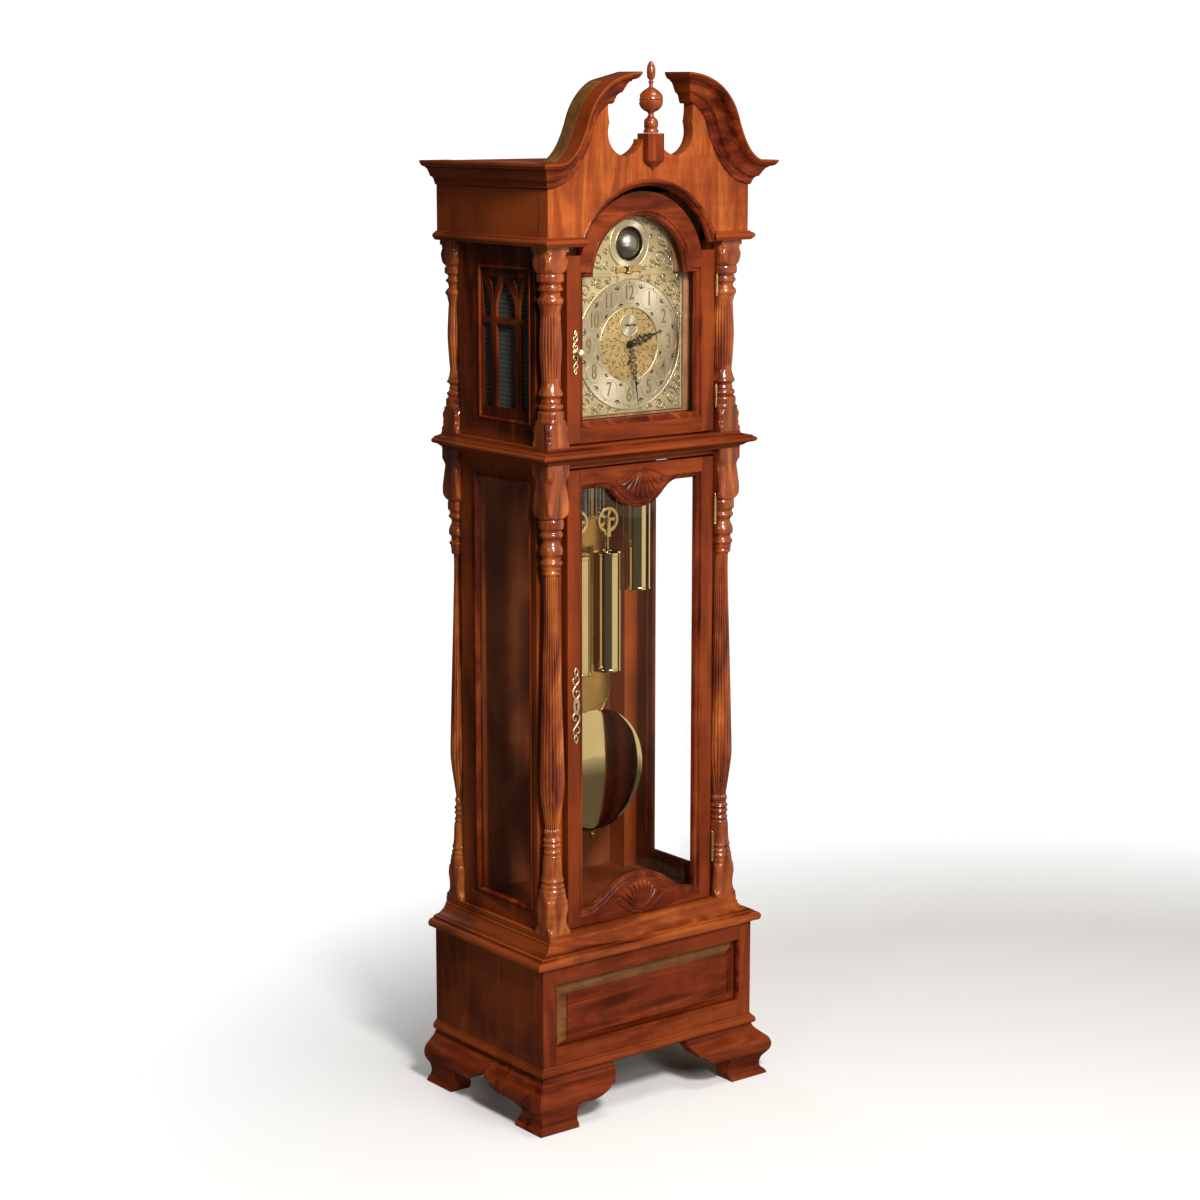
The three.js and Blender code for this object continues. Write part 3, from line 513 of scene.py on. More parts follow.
class Nodes(Tree):
    """A new material with its nodes. Its patterns are placed in the piece's own coordinates."""

    def __init__(self, name):
        self.material = bpy.data.materials.new(name)
        self.material.use_nodes = True
        super().__init__(self.material.node_tree)
        self.shader = self.tree.nodes["Principled BSDF"]
        self.output = self.tree.nodes["Material Output"]
        self.place = self.add("ShaderNodeTexCoord").outputs["Object"]

    def set(self, **values):
        for key, value in values.items():
            self.put(self.shader.inputs[key.replace("_", " ")], value)

    def noise(self, scale, stretch=(1, 1, 1), detail=4, roughness=0.55, distortion=0.0):
        place = self.add("ShaderNodeMapping", {"Vector": self.place, "Scale": stretch}).outputs[0]
        inputs = {"Vector": place, "Scale": scale, "Detail": detail}
        inputs.update({"Roughness": roughness, "Distortion": distortion})
        return self.add("ShaderNodeTexNoise", inputs).outputs["Fac"]

    def mix(self, a, b, factor, blend="MIX"):
        node = self.add("ShaderNodeMix", data_type="RGBA", blend_type=blend)
        self.put(node.inputs["Factor"], factor)
        self.put(node.inputs[6], a)
        self.put(node.inputs[7], b)
        return node.outputs[2]

    def darken(self, colour, mask, share):
        return self.mix(colour, mask, share, "MULTIPLY")

    def hollow(self, reach):
        """How open a point is: dark in a corner or groove within reach, in millimetres. Multiplied into a
        colour, it paints shade into corners and grooves.
        """
        node = self.add("ShaderNodeAmbientOcclusion", {"Distance": reach * MM}, samples=4)
        return self.ramp(node.outputs["AO"], (0.3, 0.3), (0.8, 1.0))

    def bump(self, height, strength, distance):
        inputs = {"Height": height, "Strength": strength, "Distance": distance * MM}
        return self.add("ShaderNodeBump", inputs).outputs["Normal"]


def rgb(text):
    """A linear colour from a six-digit sRGB code."""
    channels = [int(text[i : i + 2], 16) / 255 for i in (0, 2, 4)]
    return tuple(c / 12.92 if c <= 0.04045 else ((c + 0.055) / 1.055) ** 2.4 for c in channels)


AXES = {"x": 0, "y": 1, "z": 2}


def along(axis, length_scale, cross_scale):
    """Mapping scales for a pattern that is drawn out along one axis."""
    scale = [cross_scale] * 3
    scale[AXES[axis]] = length_scale
    return tuple(scale)


def wood(name, axis, dark, middle, light, edge, coat=0.6, roughness=0.36, gloss=0.12):
    """Stained cherry under a rubbed lacquer.

    It has drawn-out figure, fine pores, painted shade in the hollows, and edges lightened in patches, partly
    as wear and partly as a painted highlight.
    gloss is the bare wood's own shine under the coat.
    """
    n = Nodes(name)
    bands = n.noise(1.0, along(axis, 3.4, 21), detail=5, roughness=0.6, distortion=1.3)
    lines = n.noise(1.0, along(axis, 5, 120), detail=4, roughness=0.65, distortion=0.4)
    pores = n.noise(1.0, along(axis, 38, 900), detail=2, roughness=0.5)
    clouds = n.noise(3.2, (1, 1, 1), detail=3, roughness=0.5, distortion=0.5)
    flame = n.noise(1.0, along(axis, 30, 9), detail=3, roughness=0.5, distortion=0.8)
    colour = n.ramp(bands, (0.34, rgb(dark)), (0.5, rgb(middle)), (0.66, rgb(light)))
    colour = n.darken(colour, n.ramp(lines, (0.3, 0.45), (0.62, 1.0)), 0.45)
    colour = n.darken(colour, n.ramp(flame, (0.35, 0.55), (0.65, 1.2)), 0.4)
    colour = n.darken(colour, n.ramp(clouds, (0.32, 0.66), (0.7, 1.15)), 0.5)
    colour = n.darken(colour, n.ramp(pores, (0.36, 0.35), (0.5, 1.0)), 0.3)
    # painted shade: the colour darkens in corners and grooves by how enclosed they are
    colour = n.darken(colour, n.hollow(7), 0.7)
    # edges lightened in patches: partly wear, partly a painted highlight along the mouldings' edges
    point = n.add("ShaderNodeNewGeometry").outputs["Pointiness"]
    worn_and_highlit_ridges, patches = n.ramp(point, (0.52, 0.0), (0.6, 1.0)), n.ramp(clouds, (0.35, 0.25), (0.6, 1.0))
    colour = n.mix(colour, rgb(edge), n.darken(worn_and_highlit_ridges, patches, 1.0))
    n.set(Base_Color=colour, Coat_Weight=coat, Coat_Roughness=0.06, Specular_IOR_Level=gloss)
    n.set(Roughness=n.ramp(lines, (0.2, roughness - 0.06), (0.8, roughness + 0.12)))
    n.set(Normal=n.bump(n.mix(lines, pores, 0.5), 0.2, 0.25))
    return n.material





def metal(name, base, shade, roughness, bump=0.05, hammer=0.0):
    """Metal with a cloudy tone, fine rubbing marks, smudges and painted shade in its hollows. hammer gives a
    matted ground.
    """
    n = Nodes(name)
    tone = n.noise(9, detail=4)
    rub = n.noise(1.0, (60, 60, 420), detail=3)
    smudge = n.noise(26, detail=5, roughness=0.6)
    colour = n.mix(rgb(base), rgb(shade), n.ramp(tone, (0.38, 0.0), (0.68, 0.5)))
    # painted shade: the colour darkens in corners and grooves by how enclosed they are
    n.set(Base_Color=n.darken(colour, n.hollow(4), 0.8), Metallic=1.0)
    n.set(Roughness=n.ramp(smudge, (0.3, roughness * 0.75), (0.72, roughness * 1.5)))
    if hammer:
        spots = n.add("ShaderNodeTexVoronoi", {"Vector": n.place, "Scale": 900}).outputs["Distance"]
        n.set(Normal=n.bump(spots, 0.8, hammer))
    else:
        n.set(Normal=n.bump(rub, bump, 0.15))
    return n.material


def silvered():
    """Silvered brass brushed in circles, so that light fans out across it."""
    n = Nodes("silvered")
    tone = n.noise(14, detail=4)
    n.set(Base_Color=n.mix(rgb("e2dccc"), rgb("c8bda6"), n.ramp(tone, (0.35, 0.0), (0.7, 0.8))), Metallic=1.0)
    n.set(Roughness=n.ramp(tone, (0.3, 0.3), (0.7, 0.42)), Anisotropic=0.75)
    n.set(Tangent=n.add("ShaderNodeTangent", direction_type="RADIAL", axis="Y").outputs[0])
    return n.material


def thin_glass(name, tint, strength):
    """A clean pane: it lets light straight through and reflects more at a glancing angle."""
    n = Nodes(name)
    n.tree.nodes.remove(n.shader)
    through = n.add("ShaderNodeBsdfTransparent", {"Color": tint})
    haze = n.noise(5, detail=3)
    shine = n.add("ShaderNodeBsdfGlossy", {"Color": (0.9, 0.95, 0.93)})
    n.put(shine.inputs["Roughness"], n.ramp(haze, (0.3, 0.0), (0.8, 0.035)))
    edge = n.add("ShaderNodeFresnel", {"IOR": 1.45 * strength}).outputs[0]
    inside = n.add("ShaderNodeNewGeometry").outputs["Backfacing"]
    outer = n.add("ShaderNodeMath", {0: 1.0, 1: inside}, operation="SUBTRACT").outputs[0]
    share = n.add("ShaderNodeMath", {0: edge, 1: outer}, operation="MULTIPLY").outputs[0]
    both = n.add("ShaderNodeMixShader")
    n.put(both.inputs[0], share)
    n.put(both.inputs[1], through.outputs[0])
    n.put(both.inputs[2], shine.outputs[0])
    n.put(n.output.inputs["Surface"], both.outputs[0])
    return n.material


def ribbed_cloth():
    """Dark grille cloth with level ribs and an open weave."""
    n = Nodes("cloth")
    waves = {"Vector": n.place, "Scale": 34, "Distortion": 0.3}
    ribs = n.add("ShaderNodeTexWave", waves, bands_direction="Z").outputs["Fac"]
    weave = n.noise(1.0, (1, 900, 900), detail=2)
    dust = n.noise(14, detail=3)
    colour = n.mix(rgb("0b100c"), rgb("333a2e"), ribs)
    colour = n.darken(colour, n.ramp(weave, (0.35, 0.35), (0.65, 1.3)), 0.7)
    colour = n.darken(colour, n.ramp(dust, (0.3, 0.7), (0.7, 1.2)), 0.6)
    n.set(Base_Color=colour, Roughness=0.9, Sheen_Weight=0.25, Sheen_Roughness=0.5, Specular_IOR_Level=0.15)
    n.set(Normal=n.bump(n.mix(ribs, weave, 0.3), 0.9, 1.0))
    return n.material


def blackened(name, base, roughness):
    """Dark painted or blued metal with worn specks."""
    n = Nodes(name)
    tone = n.noise(160, detail=4)
    n.set(Base_Color=n.mix(rgb(base), rgb("3b3733"), n.ramp(tone, (0.5, 0.0), (0.85, 0.6))), Metallic=0.7)
    n.set(Roughness=n.ramp(tone, (0.3, roughness * 0.8), (0.7, roughness * 1.4)))
    n.set(Normal=n.bump(tone, 0.15, 0.1))
    return n.material


def braided(name):
    """Stranded steel cable with a slanting lay."""
    n = Nodes(name)
    strands = n.add("ShaderNodeTexWave", {"Vector": n.place, "Scale": 330}, bands_direction="DIAGONAL")
    strands = strands.outputs["Fac"]
    n.set(Base_Color=n.mix(rgb("77706a"), rgb("d8d4cc"), strands), Metallic=1.0)
    n.set(Roughness=n.ramp(strands, (0, 0.45), (1, 0.25)), Normal=n.bump(strands, 0.6, 0.15))
    return n.material


RUBBED, POLISHED = {"coat": 0.14}, {"coat": 1.0, "gloss": 0.3}

# Each wood: its slot, its dark, middle and light stain, its edge colour for worn and painted-highlight edges,
# and how its lacquer differs.
WOODS = {
    "cherry": ("cherry", "3c0d04", "69240c", "8a3c17", "7a3412", RUBBED),
    # fascia: a brighter copy of the cherry for the fascia board: painted light at the top of the case
    "fascia": ("cherry", "722c12", "8c3f1a", "a85a26", "96461c", RUBBED),
    "flamed": ("cherry", "3c0d04", "722c0e", "b4602a", "96461c", RUBBED),
    # side: a darker copy of the cherry for faces that look sideways and for the floor inside: painted shade
    "side": ("dark_cherry", "2a0903", "4e1806", "76310f", "96461c", RUBBED),
    # post: a brighter copy of the cherry for the turned posts and the finial: painted light, under a polished
    # lacquer
    "post": ("cherry", "561a07", "8c3c14", "b86426", "96461c", POLISHED),
    # bevel: a lighter copy of the cherry for the panel's top and left bevels: painted light
    "bevel": ("cherry", "56301a", "6e4424", "825430", "8a6034", {"coat": 0.1}),
    # a paler stain for the dial surround: painted light on a surround that sits in the door's shade
    "painted_lit_lining": ("cherry", "84563a", "a06e4c", "b4845e", "b4845e", {}),
    "olive": ("cherry", "5a3a1e", "6e4a28", "80582f", "80582f", {"coat": 0.2}),
    "inner": ("inner_wood", "4a1a0c", "6b2e16", "844424", "90502c", {"coat": 0.15, "roughness": 0.55}),
}

# Each metal: its slot, its bright and shaded tone, its roughness, and its surface.
METALS = {
    "brass": ("brass", "e6c88c", "c09a56", 0.3, {}),
    "plate_brass": ("brass", "dccdaa", "c4b084", 0.45, {"hammer": 0.12}),
    "matted": ("brass", "d0b684", "b09460", 0.5, {"hammer": 0.3}),
    "scroll_brass": ("brass", "e4d6b0", "cbb684", 0.38, {}),
    "mirror": ("polished_brass", "f0dcae", "dcc48c", 0.04, {"bump": 0.01}),
    "pendulum_brass": ("polished_brass", "cfa766", "ac8040", 0.2, {}),
    "bronze": ("blackened_steel", "c0a27a", "9a7a50", 0.45, {}),
    "dome": ("steel", "a3a098", "6e6b64", 0.3, {"bump": 0.02}),
    "steel": ("steel", "cfcfca", "9c9c98", 0.22, {}),
}

# Each dark metal: its slot, its colour and its roughness.
DARK_METALS = {
    "umber": ("blackened_steel", "3c2e18", 0.6),
    "ink": ("blackened_steel", "17120d", 0.55),
    "black": ("blackened_steel", "0c0b0b", 0.3),
    "iron": ("steel", "1c1a18", 0.5),
}


def make_finishes():
    """Fills FINISHES. A wood has a material for its grain along each axis, such as cherry.x."""
    for key, (slot, dark, middle, light, edge, lacquer) in WOODS.items():
        for axis in AXES:
            name = f"{key}.{axis}"
            FINISHES[name] = (wood(name, axis, dark, middle, light, edge, **lacquer), slot)
    for name, (slot, base, shade, roughness, surface) in METALS.items():
        FINISHES[name] = (metal(name, base, shade, roughness, **surface), slot)
    for name, (slot, base, roughness) in DARK_METALS.items():
        FINISHES[name] = (blackened(name, base, roughness), slot)
    FINISHES.update(
        glass=(thin_glass("glass", (0.998, 1.0, 0.998), 0.9), "glass"),
        bevelled_glass=(thin_glass("bevelled_glass", (0.95, 0.985, 0.97), 1.1), "glass"),
        cloth=(ribbed_cloth(), "cloth"),
        silvered=(silvered(), "silvered"),
        cable=(braided("cable"), "cable"),
    )


make_finishes()

# ---- Corner posts ----

WHOLE = 60  # a radius outside the square blank, where the post stays square

WAIST_TURNING = [
    (WAIST_BOTTOM, WHOLE), (409, WHOLE), (414, 34), (428, 30), (440, 30.4), (458, 32.4), (474, 31),
    (480, 28), (484, 28.6), (488, 27.2), (497, 26.6), (500, 24.4), (505, 25), (508.6, 23.6), (511, 21.6),
    (514, 23), (517, 23.8), (520, 22.6), (526, 21.2), (545, 20), (560, 19.6), (565, 18.6), (568, 18.8),
    (571, 16.6), (574, 17.2), (577, 18.4), (580, 16.8), (583, 15.8), (588, 16.6), (591, 18.6),
    (594, 16.8), (596.5, 15.8), (599, 17.2), (602, 18.8), (605, 17), (608, 15.4), (612, 15.2),
    (615, 16.4), (619, 17.4), (623, 16.2), (626, 14.6), (637, 15.9), (660, 19.2), (695, 23.9), (720, 26),
    (787, 24.5), (938, 19.8), (1037, 16.6), (1126, 14.4), (1147, 14.6), (1150, 15.5), (1152.5, 19.2),
    (1156.5, 19.6), (1159, 18.6), (1161.5, 20), (1169.5, 20.4), (1172, 22.6), (1175, 23.4), (1179, 22),
    (1182, 19.4), (1187, 19), (1190.5, 21), (1193, 23.8), (1199, 24.2), (1208, 22.4), (1216, 18.8),
    (1220, 18), (1225, 19.6), (1228, 23), (1231.5, 24.4), (1235, 23.6), (1238, 21.6), (1242, 22),
    (1245, 25.4), (1248, 26), (1261, 26), (1264, 24.6), (1267, 28.5), (1272, 33), (1280, 36.4),
    (1290, 36.6), (1308, 34.4), (1326, 32), (1338, 30.4), (1344, 32), (1350, 36), (1355, WHOLE),
    (WAIST_TOP, WHOLE),
]
HOOD_TURNING = [
    (HOOD_BOTTOM, WHOLE), (1416, WHOLE), (1419, 35), (1423, 33.4), (1427, 34.4), (1432, 33), (1444, 34.6),
    (1450, 33), (1455, 30.6), (1459, 31.4), (1462, 28), (1465, 27.2), (1477, 27.4), (1480, 25.6),
    (1482, 22), (1485, 24.4), (1489, 25.6), (1493, 24), (1496, 20), (1499, 20.8), (1502, 19.8),
    (1505, 19), (1508, 20.6), (1511, 24.6), (1514, 25.2), (1517.5, 23.6), (1526, 20.6), (1534, 18.6),
    (1538.5, 18.2), (1541, 18.6), (1575, 21.2), (1608, 22.8), (1640, 21.6), (1668, 20), (1673, 19.6),
    (1682, 21.4), (1690, 23.4), (1693.5, 26), (1699, 26.4), (1703, 24), (1706, 21), (1709, 19.8),
    (1713, 20), (1716, 22), (1719, 25), (1723, 25), (1725.5, 22.6), (1728, 22.4), (1730, 21),
    (1732.5, 22), (1735, 26.6), (1738, 27.4), (1748, 27.4), (1751, 26), (1753.5, 28), (1757, 31),
    (1762, 33), (1774, 35), (1781, 33.6), (1786, 31.6), (1789.5, 33), (1792, 32), (1794.5, WHOLE),
    (HOOD_TOP, WHOLE),
]
POST_SEGMENTS = 140
REEDS = 20
REED_FADE = 7
WAIST_REEDS = (613, 1149, 2.0)  # the height where the reeds start, where they end, and their depth
HOOD_REEDS = (1540, 1672, 2.2)
SQUARENESS = 26  # the power that draws a circle out into the blank's square section


def post(name, shape, x, y, reeds, stands_for):
    """A square blank with a turned and reeded middle."""
    start, end, depth = reeds
    verts, faces = [], []
    rows = turning(shape, 2.5)
    for z, radius in rows:
        level = max(0.0, min(1.0, (z - start) / REED_FADE, (end - z) / REED_FADE))
        cut = depth * math.sin(level * math.pi / 2)
        for s in range(POST_SEGMENTS):
            a = 2 * math.pi * s / POST_SEGMENTS
            reed = cut * (1 - abs(math.sin(REEDS * a / 2)))
            c, d = abs(math.cos(a)), abs(math.sin(a))
            square = POST_HALF / (c**SQUARENESS + d**SQUARENESS) ** (1 / SQUARENESS)
            r = min(radius - reed, square)
            verts.append((x + r * math.cos(a), y + r * math.sin(a), z))
    for i in range(len(rows) - 1):
        faces += band(POST_SEGMENTS, i, i + 1)
    faces.append(tuple(range(POST_SEGMENTS)))
    faces.append(tuple((len(rows) - 1) * POST_SEGMENTS + s for s in range(POST_SEGMENTS)))
    # the turned posts take the brighter post finish: painted light
    return dress(made(name, verts, faces, sharp=42), "post.z", stands_for=stands_for)


def make_posts():
    turned = (("waist", WAIST_TURNING, WAIST_REEDS), ("hood", HOOD_TURNING, HOOD_REEDS))
    for side, sign in SIDES.items():
        for end, y in (("front", POST_FRONT_Y), ("back", POST_BACK_Y)):
            for part, shape, reeds in turned:
                node = f"{part}_post_{end}_{side}"
                post(f"turned_{node}", shape, sign * POST_X, y, reeds, node)


make_posts()

# ---- Runs of moulding round three sides of the case ----


def three_sides(name, profile, half, front, front_scale, stands_for, finish="cherry.x"):
    """A mitred run round the left side, the front and the right side, with the grain along each length."""
    stations = [
        outwards(-half, BACK, -1, 0),
        outwards(-half, front, -1, -front_scale),
        outwards(half, front, 1, -front_scale),
        outwards(half, BACK, 1, 0),
    ]
    # the side lengths take the darker side finish: painted shade
    obj = sweep(name, profile, stations, segment_finish=[1, 0, 1])
    return dress(obj, finish, stands_for=stands_for, more=["side.y"])


def make_mouldings():
    inner = -2 * POST_HALF
    three_sides(
        "moulding_base_bottom",
        moulded([(GAP, 134), (2, 133.6), (3, 131)], [(3, 131), (7, 127.5), (9.4, 122), (9, 117), (6, 113.5)],
                [(3, BASE_BOTTOM)], [(GAP, BASE_BOTTOM)]),
        BASE_HALF, BASE_FRONT, 1, "base_bottom_moulding",
    )
    three_sides(
        "moulding_base_top",
        moulded([(0, 404), (0, 392)], [(3, 390.6), (3, 388)], [(3, 387), (9, 378.5), (20, 371), (31, 368.4)],
                [(34, 367.6), (34, 364.6)], [(36, 363.6), (43, 362), (47.4, 357), (48, 351.5), (45.5, 346.5)],
                [(44, 345.6), (36, 344.6), (29, 342.3)], [(inner, 342.3)], [(inner, 404)]),
        WAIST_HALF, WAIST_FRONT, 28 / 48, "base_top_moulding", "flamed.x",
    )
    three_sides(
        "moulding_waist",
        moulded([(0, HOOD_BOTTOM - 0.6), (0, 1404.4)], [(2, 1403), (8, 1401.6), (16, 1400)],
                [(19, 1399.4), (19, 1397.6)],
                [(21, 1396.8), (25, 1394.4), (26, 1391), (24.4, 1387.6), (21, 1386)],
                [(19.5, 1385.4), (11, 1383.2), (5, 1379)], [(3.4, 1378), (0, 1377.6), (0, WAIST_TOP + 0.6)],
                [(inner, WAIST_TOP + 0.6)], [(inner, HOOD_BOTTOM - 0.6)]),
        WAIST_HALF, WAIST_FRONT, 0.92, "waist_moulding",
    )
    floor = board("waist_floor", (-199, 199), (WAIST_FRONT + 56, BACK - 14), (386, 404), 0.5)
    # the floor inside the waist takes the darker side finish: painted shade
    dress(floor, "side.x")
    rail = board("hood_seat_rail", (-195, 195), (DOOR_FRONT + 0.5, DOOR_BACK), (1362, 1384), 0.8)
    dress(rail, "cherry.x")


make_mouldings()

# ---- Base ----

PANEL = {"panel": (248, 165, 311), "field": (213, 186, 279)}  # the half width, the bottom and the top
BASE_BOARD = 20


def make_base():
    half, front, inner = BASE_HALF, BASE_FRONT, BASE_FRONT + BASE_BOARD
    bottom, top = BASE_BOTTOM + GAP, BASE_TOP - GAP
    side, low, high = PANEL["panel"]
    for hand, sign in SIDES.items():
        x = sorted((sign * half, sign * (half - BASE_BOARD)))
        # the base sides take the darker side finish: painted shade
        obj = board(f"base_side_{hand}", x, (inner + 0.1, BACK), (bottom, top), 0.8)
        dress(obj, "side.z")
        x = sorted((sign * side, sign * half))
        obj = board(f"base_stile_{hand}", x, (front, inner), (bottom, top), 1.2)
        dress(obj, "cherry.z")
    rail = board("base_rail_bottom", (-side, side), (front + 0.15, inner), (bottom, low), 0.5)
    dress(rail, "cherry.x", stands_for="base_case")
    dress(board("base_rail_top", (-side, side), (front + 0.15, inner), (high, top), 0.5), "cherry.x")
    opening = rectangle(-side, side, low, high)
    bead = moulded(
        [(0.2, front + 9), (0.2, front + 1.5)],
        [(0.2, front + 1), (-1.4, front - 0.9), (-3.4, front - 0.4), (-4.6, front + 2)],
        [(-5.4, front + 4), (-5.4, front + 9)],
    )
    dress(ring_moulding("base_panel_bead", opening, bead, in_front), "cherry.x")
    make_panel(front)


def make_panel(front):
    """The fielded panel: a wide bevel rises from the frame to a small step round the raised field."""

    def ring(part, grow, depth):
        half, low, high = PANEL[part]
        outline = rectangle(-half - grow, half + grow, low - grow, high + grow)
        return [(x, front + depth, z) for x, z in outline]

    rings = [
        ring("panel", -0.5, 18),
        ring("panel", -0.5, 15),
        ring("field", 1.5, 7),
        ring("field", 1, 4),
        ring("field", -1, 3.2),
    ]
    faces, finish = [(0, 1, 2, 3)], [0]
    for r in range(len(rings) - 1):
        faces += band(4, r, r + 1)
        # the top and left bevel faces take the lighter bevel finish: painted light, as if lit from the upper
        # left
        finish += [0, 0, 1, 1] if r == 1 else [0] * 4
    last = 4 * (len(rings) - 1)
    faces.append((last, last + 1, last + 2, last + 3))
    finish.append(0)
    panel = made("fielded_panel", [point for ring in rings for point in ring], faces, 12, finish)
    dress(soften(panel, 0.5), "cherry.x", stands_for="base_panel", more=["bevel.x"])


make_base()

FOOT_BOARD = 22
OGEE = moulded(
    [(27, 0), (25.6, 5), (21.4, 10.6)],
    [(19.5, 11.2), (15.8, 17), (15.6, 25), (18.6, 37), (26, 47), (32, 57), (34, 68), (31, 79), (24.5, 87),
     (15, 95), (7, 103), (2, 111.7)],
    [(-FOOT_BOARD, BASE_BOTTOM - GAP)],
    [(-FOOT_BOARD, 0)],
)


def cut_away(obj, cutters):
    """Cuts the shapes of other meshes out of a piece, and removes them."""
    for cutter in cutters:
        cut = obj.modifiers.new("cut", "BOOLEAN")
        cut.object = cutter
        cut.operation = "DIFFERENCE"
        cut.solver = "EXACT"
    apply_modifiers(obj)
    tidy_mesh(obj.data, 32)
    for cutter in cutters:
        bpy.data.objects.remove(cutter)
    return obj


def make_feet():
    low = -20  # the cutters reach below the floor
    front_scroll = [
        (212, low), *curve_through([(208, 0), (204, 22), (205, 44), (202, 50.5), (196, 52)]),
        *curve_through([(178, 51), (158, 54), (140, 63), (127, 73), (118, 76)]),
        *curve_through([(113, 81), (106, 92), (99, 99)]), (80, 99), (80, low),
    ]
    side_scroll = [
        (-116, low),
        *curve_through([(-113, 0), (-107, 10), (-110, 20), (-119, 30), (-119, 40), (-110, 49), (-98, 53)]),
        *curve_through([(-84, 53), (-62, 52), (-44, 57), (-32, 63), (-20, 70)]),
        *curve_through([(-8, 74), (-4, 82), (1, 89)]), (12, 89), (12, low),
    ]
    back_scroll = [
        (123, low), *curve_through([(123, 0), (119, 14), (124, 30), (121, 43), (112, 50)]),
        *curve_through([(92, 50), (62, 51), (46, 56), (34, 63), (22, 70)]),
        *curve_through([(12, 75), (8, 82), (3, 89)]), (-8, 89), (-8, low),
    ]
    for side, sign in SIDES.items():
        x = sorted((sign * (BASE_HALF - 50), sign * (BASE_HALF + 50)))
        stations = [
            outwards(sign * 98, BASE_FRONT, 0, -1),
            outwards(sign * BASE_HALF, BASE_FRONT, sign, -1),
            outwards(sign * BASE_HALF, 1, sign, 0),
        ]
        foot = sweep(f"ogee_foot_front_{side}", OGEE, stations)
        scroll = mirrored(front_scroll, sign)
        cutters = [
            plate("cutter", scroll, near=BASE_FRONT - 60, far=BASE_FRONT + 60, eased=0.01),
            plate("cutter", side_scroll, near=x[0], far=x[1], eased=0.01, across="x"),
        ]
        dress(soften(cut_away(foot, cutters), 0.9), "cherry.x", stands_for=f"foot_front_{side}")
        stations = [outwards(sign * BASE_HALF, y, sign, 0) for y in (3, BACK - 0.2)]
        foot = sweep(f"ogee_foot_back_{side}", OGEE, stations)
        cutters = [plate("cutter", back_scroll, near=x[0], far=x[1], eased=0.01, across="x")]
        dress(soften(cut_away(foot, cutters), 0.9), "cherry.y", stands_for=f"foot_back_{side}")
        x = sorted((sign * 190, sign * (BASE_HALF - FOOT_BOARD - 0.5)))
        brace = board(f"foot_brace_{side}", x, (BACK - FOOT_BOARD, BACK - 0.2), (0, BASE_BOTTOM - GAP), 0.8)
        dress(brace, "inner.x")


make_feet()

# ---- Cornice, fascia and finial ----

NECK_END = 100


def swan_neck(steps):
    """Points on the swan neck's upper edge, each with its normal into the board: (x, z, nx, nz)."""
    line = bezier((262, 1965), (228, 1965), (206, 2005), (192, 2046), steps // 2)
    line += bezier((192, 2046), (178, 2092), (140, 2135), (60, 2140), steps) + [(60, 2140)]
    points = []
    for i, (x, z) in enumerate(line):
        a, b = line[max(0, i - 1)], line[min(len(line) - 1, i + 1)]
        tangent = Vector((b[0] - a[0], b[1] - a[1])).normalized()
        points.append((x, z, -tangent.y, tangent.x))
    return points


def neck_height(x):
    """The height of the swan neck's upper edge at x."""
    points = swan_neck(44)
    for (x0, z0, _, _), (x1, z1, _, _) in zip(points, points[1:]):
        if x1 <= x <= x0:
            return between(z0, z1, (x0 - x) / max(1e-6, x0 - x1))
    return CORNICE_TOP if x > 200 else 2140


CROWN = moulded(
    [(47, 0), (47, 4.6)],
    [(45.4, 5.4), (42.6, 9.6), (37, 12.4), (33, 13)],
    [(31.4, 13.4), (31.4, 15.6)],
    [(28, 16), (24.4, 20), (19.5, 28), (16.6, 33)],
    [(14.6, 33.4), (11, 35), (7.6, 38.6), (7, 42)],
    [(5.6, 42.4), (5, 46.4), (2, 50)],
    [(GAP, 50)],
    [(GAP, 8.3)],
    [(-FASCIA_BOARD - GAP, 8.3)],
    [(-FASCIA_BOARD - GAP, 0)],
)


SIDE_SCALE = 41 / 47  # how far the cornice juts at the side for each millimetre at the front
TIP_SLANT = 0.87  # the neck's end is cut on the slant, further in for each millimetre that the profile juts


def on_return(sign, y=None):
    """A station on the level cornice at the side. Without a y it is the mitre at the front."""
    return lambda out, drop: (
        sign * (FASCIA_HALF + SIDE_SCALE * out), FASCIA_FRONT - out if y is None else y, CORNICE_TOP - drop
    )


def on_neck(sign, x, _, nx, nz):
    """A station on the swan neck, which stops at the slanted end."""

    def place(out, drop):
        across = max(x + nx * drop, NECK_END - TIP_SLANT * out + 0.2)
        return (sign * across, FASCIA_FRONT - out, neck_height(max(x, across)) + nz * drop)

    return place


def on_tip(sign, y=None):
    """A station on the slanted end of the neck. Without a y it is the front edge."""

    def place(out, drop):
        across = NECK_END - TIP_SLANT * out
        return (sign * across, FASCIA_FRONT - out if y is None else y, neck_height(across) - 1.12 * drop)

    return place


def make_crown():
    neck = [p for p in swan_neck(44) if p[0] > NECK_END - 38]
    strip = [(8, 0.6), (8, -0.9), (7, -1.2), (-29, -1.2), (-30, -0.9), (-30, 0.6)]
    for side, sign in SIDES.items():
        stations = [
            on_return(sign, BACK),
            on_return(sign),
            *[on_neck(sign, *p) for p in neck],
            on_tip(sign),
            on_tip(sign, FASCIA_FRONT + FASCIA_BOARD + 2 * GAP),
        ]
        # the cornice's side return takes the darker side finish: painted shade
        finish = [1] + [0] * (len(stations) - 2)
        obj = sweep(f"cornice_{side}", CROWN, stations, 30, finish)
        dress(obj, "cherry.x", stands_for=f"crown_{side}", more=["side.y"])
        stations = [on_neck(sign, *p) for p in neck if NECK_END + 28 < p[0] < 250]
        dress(sweep(f"cornice_cap_{side}", strip, stations, 30), "olive.x")


make_crown()


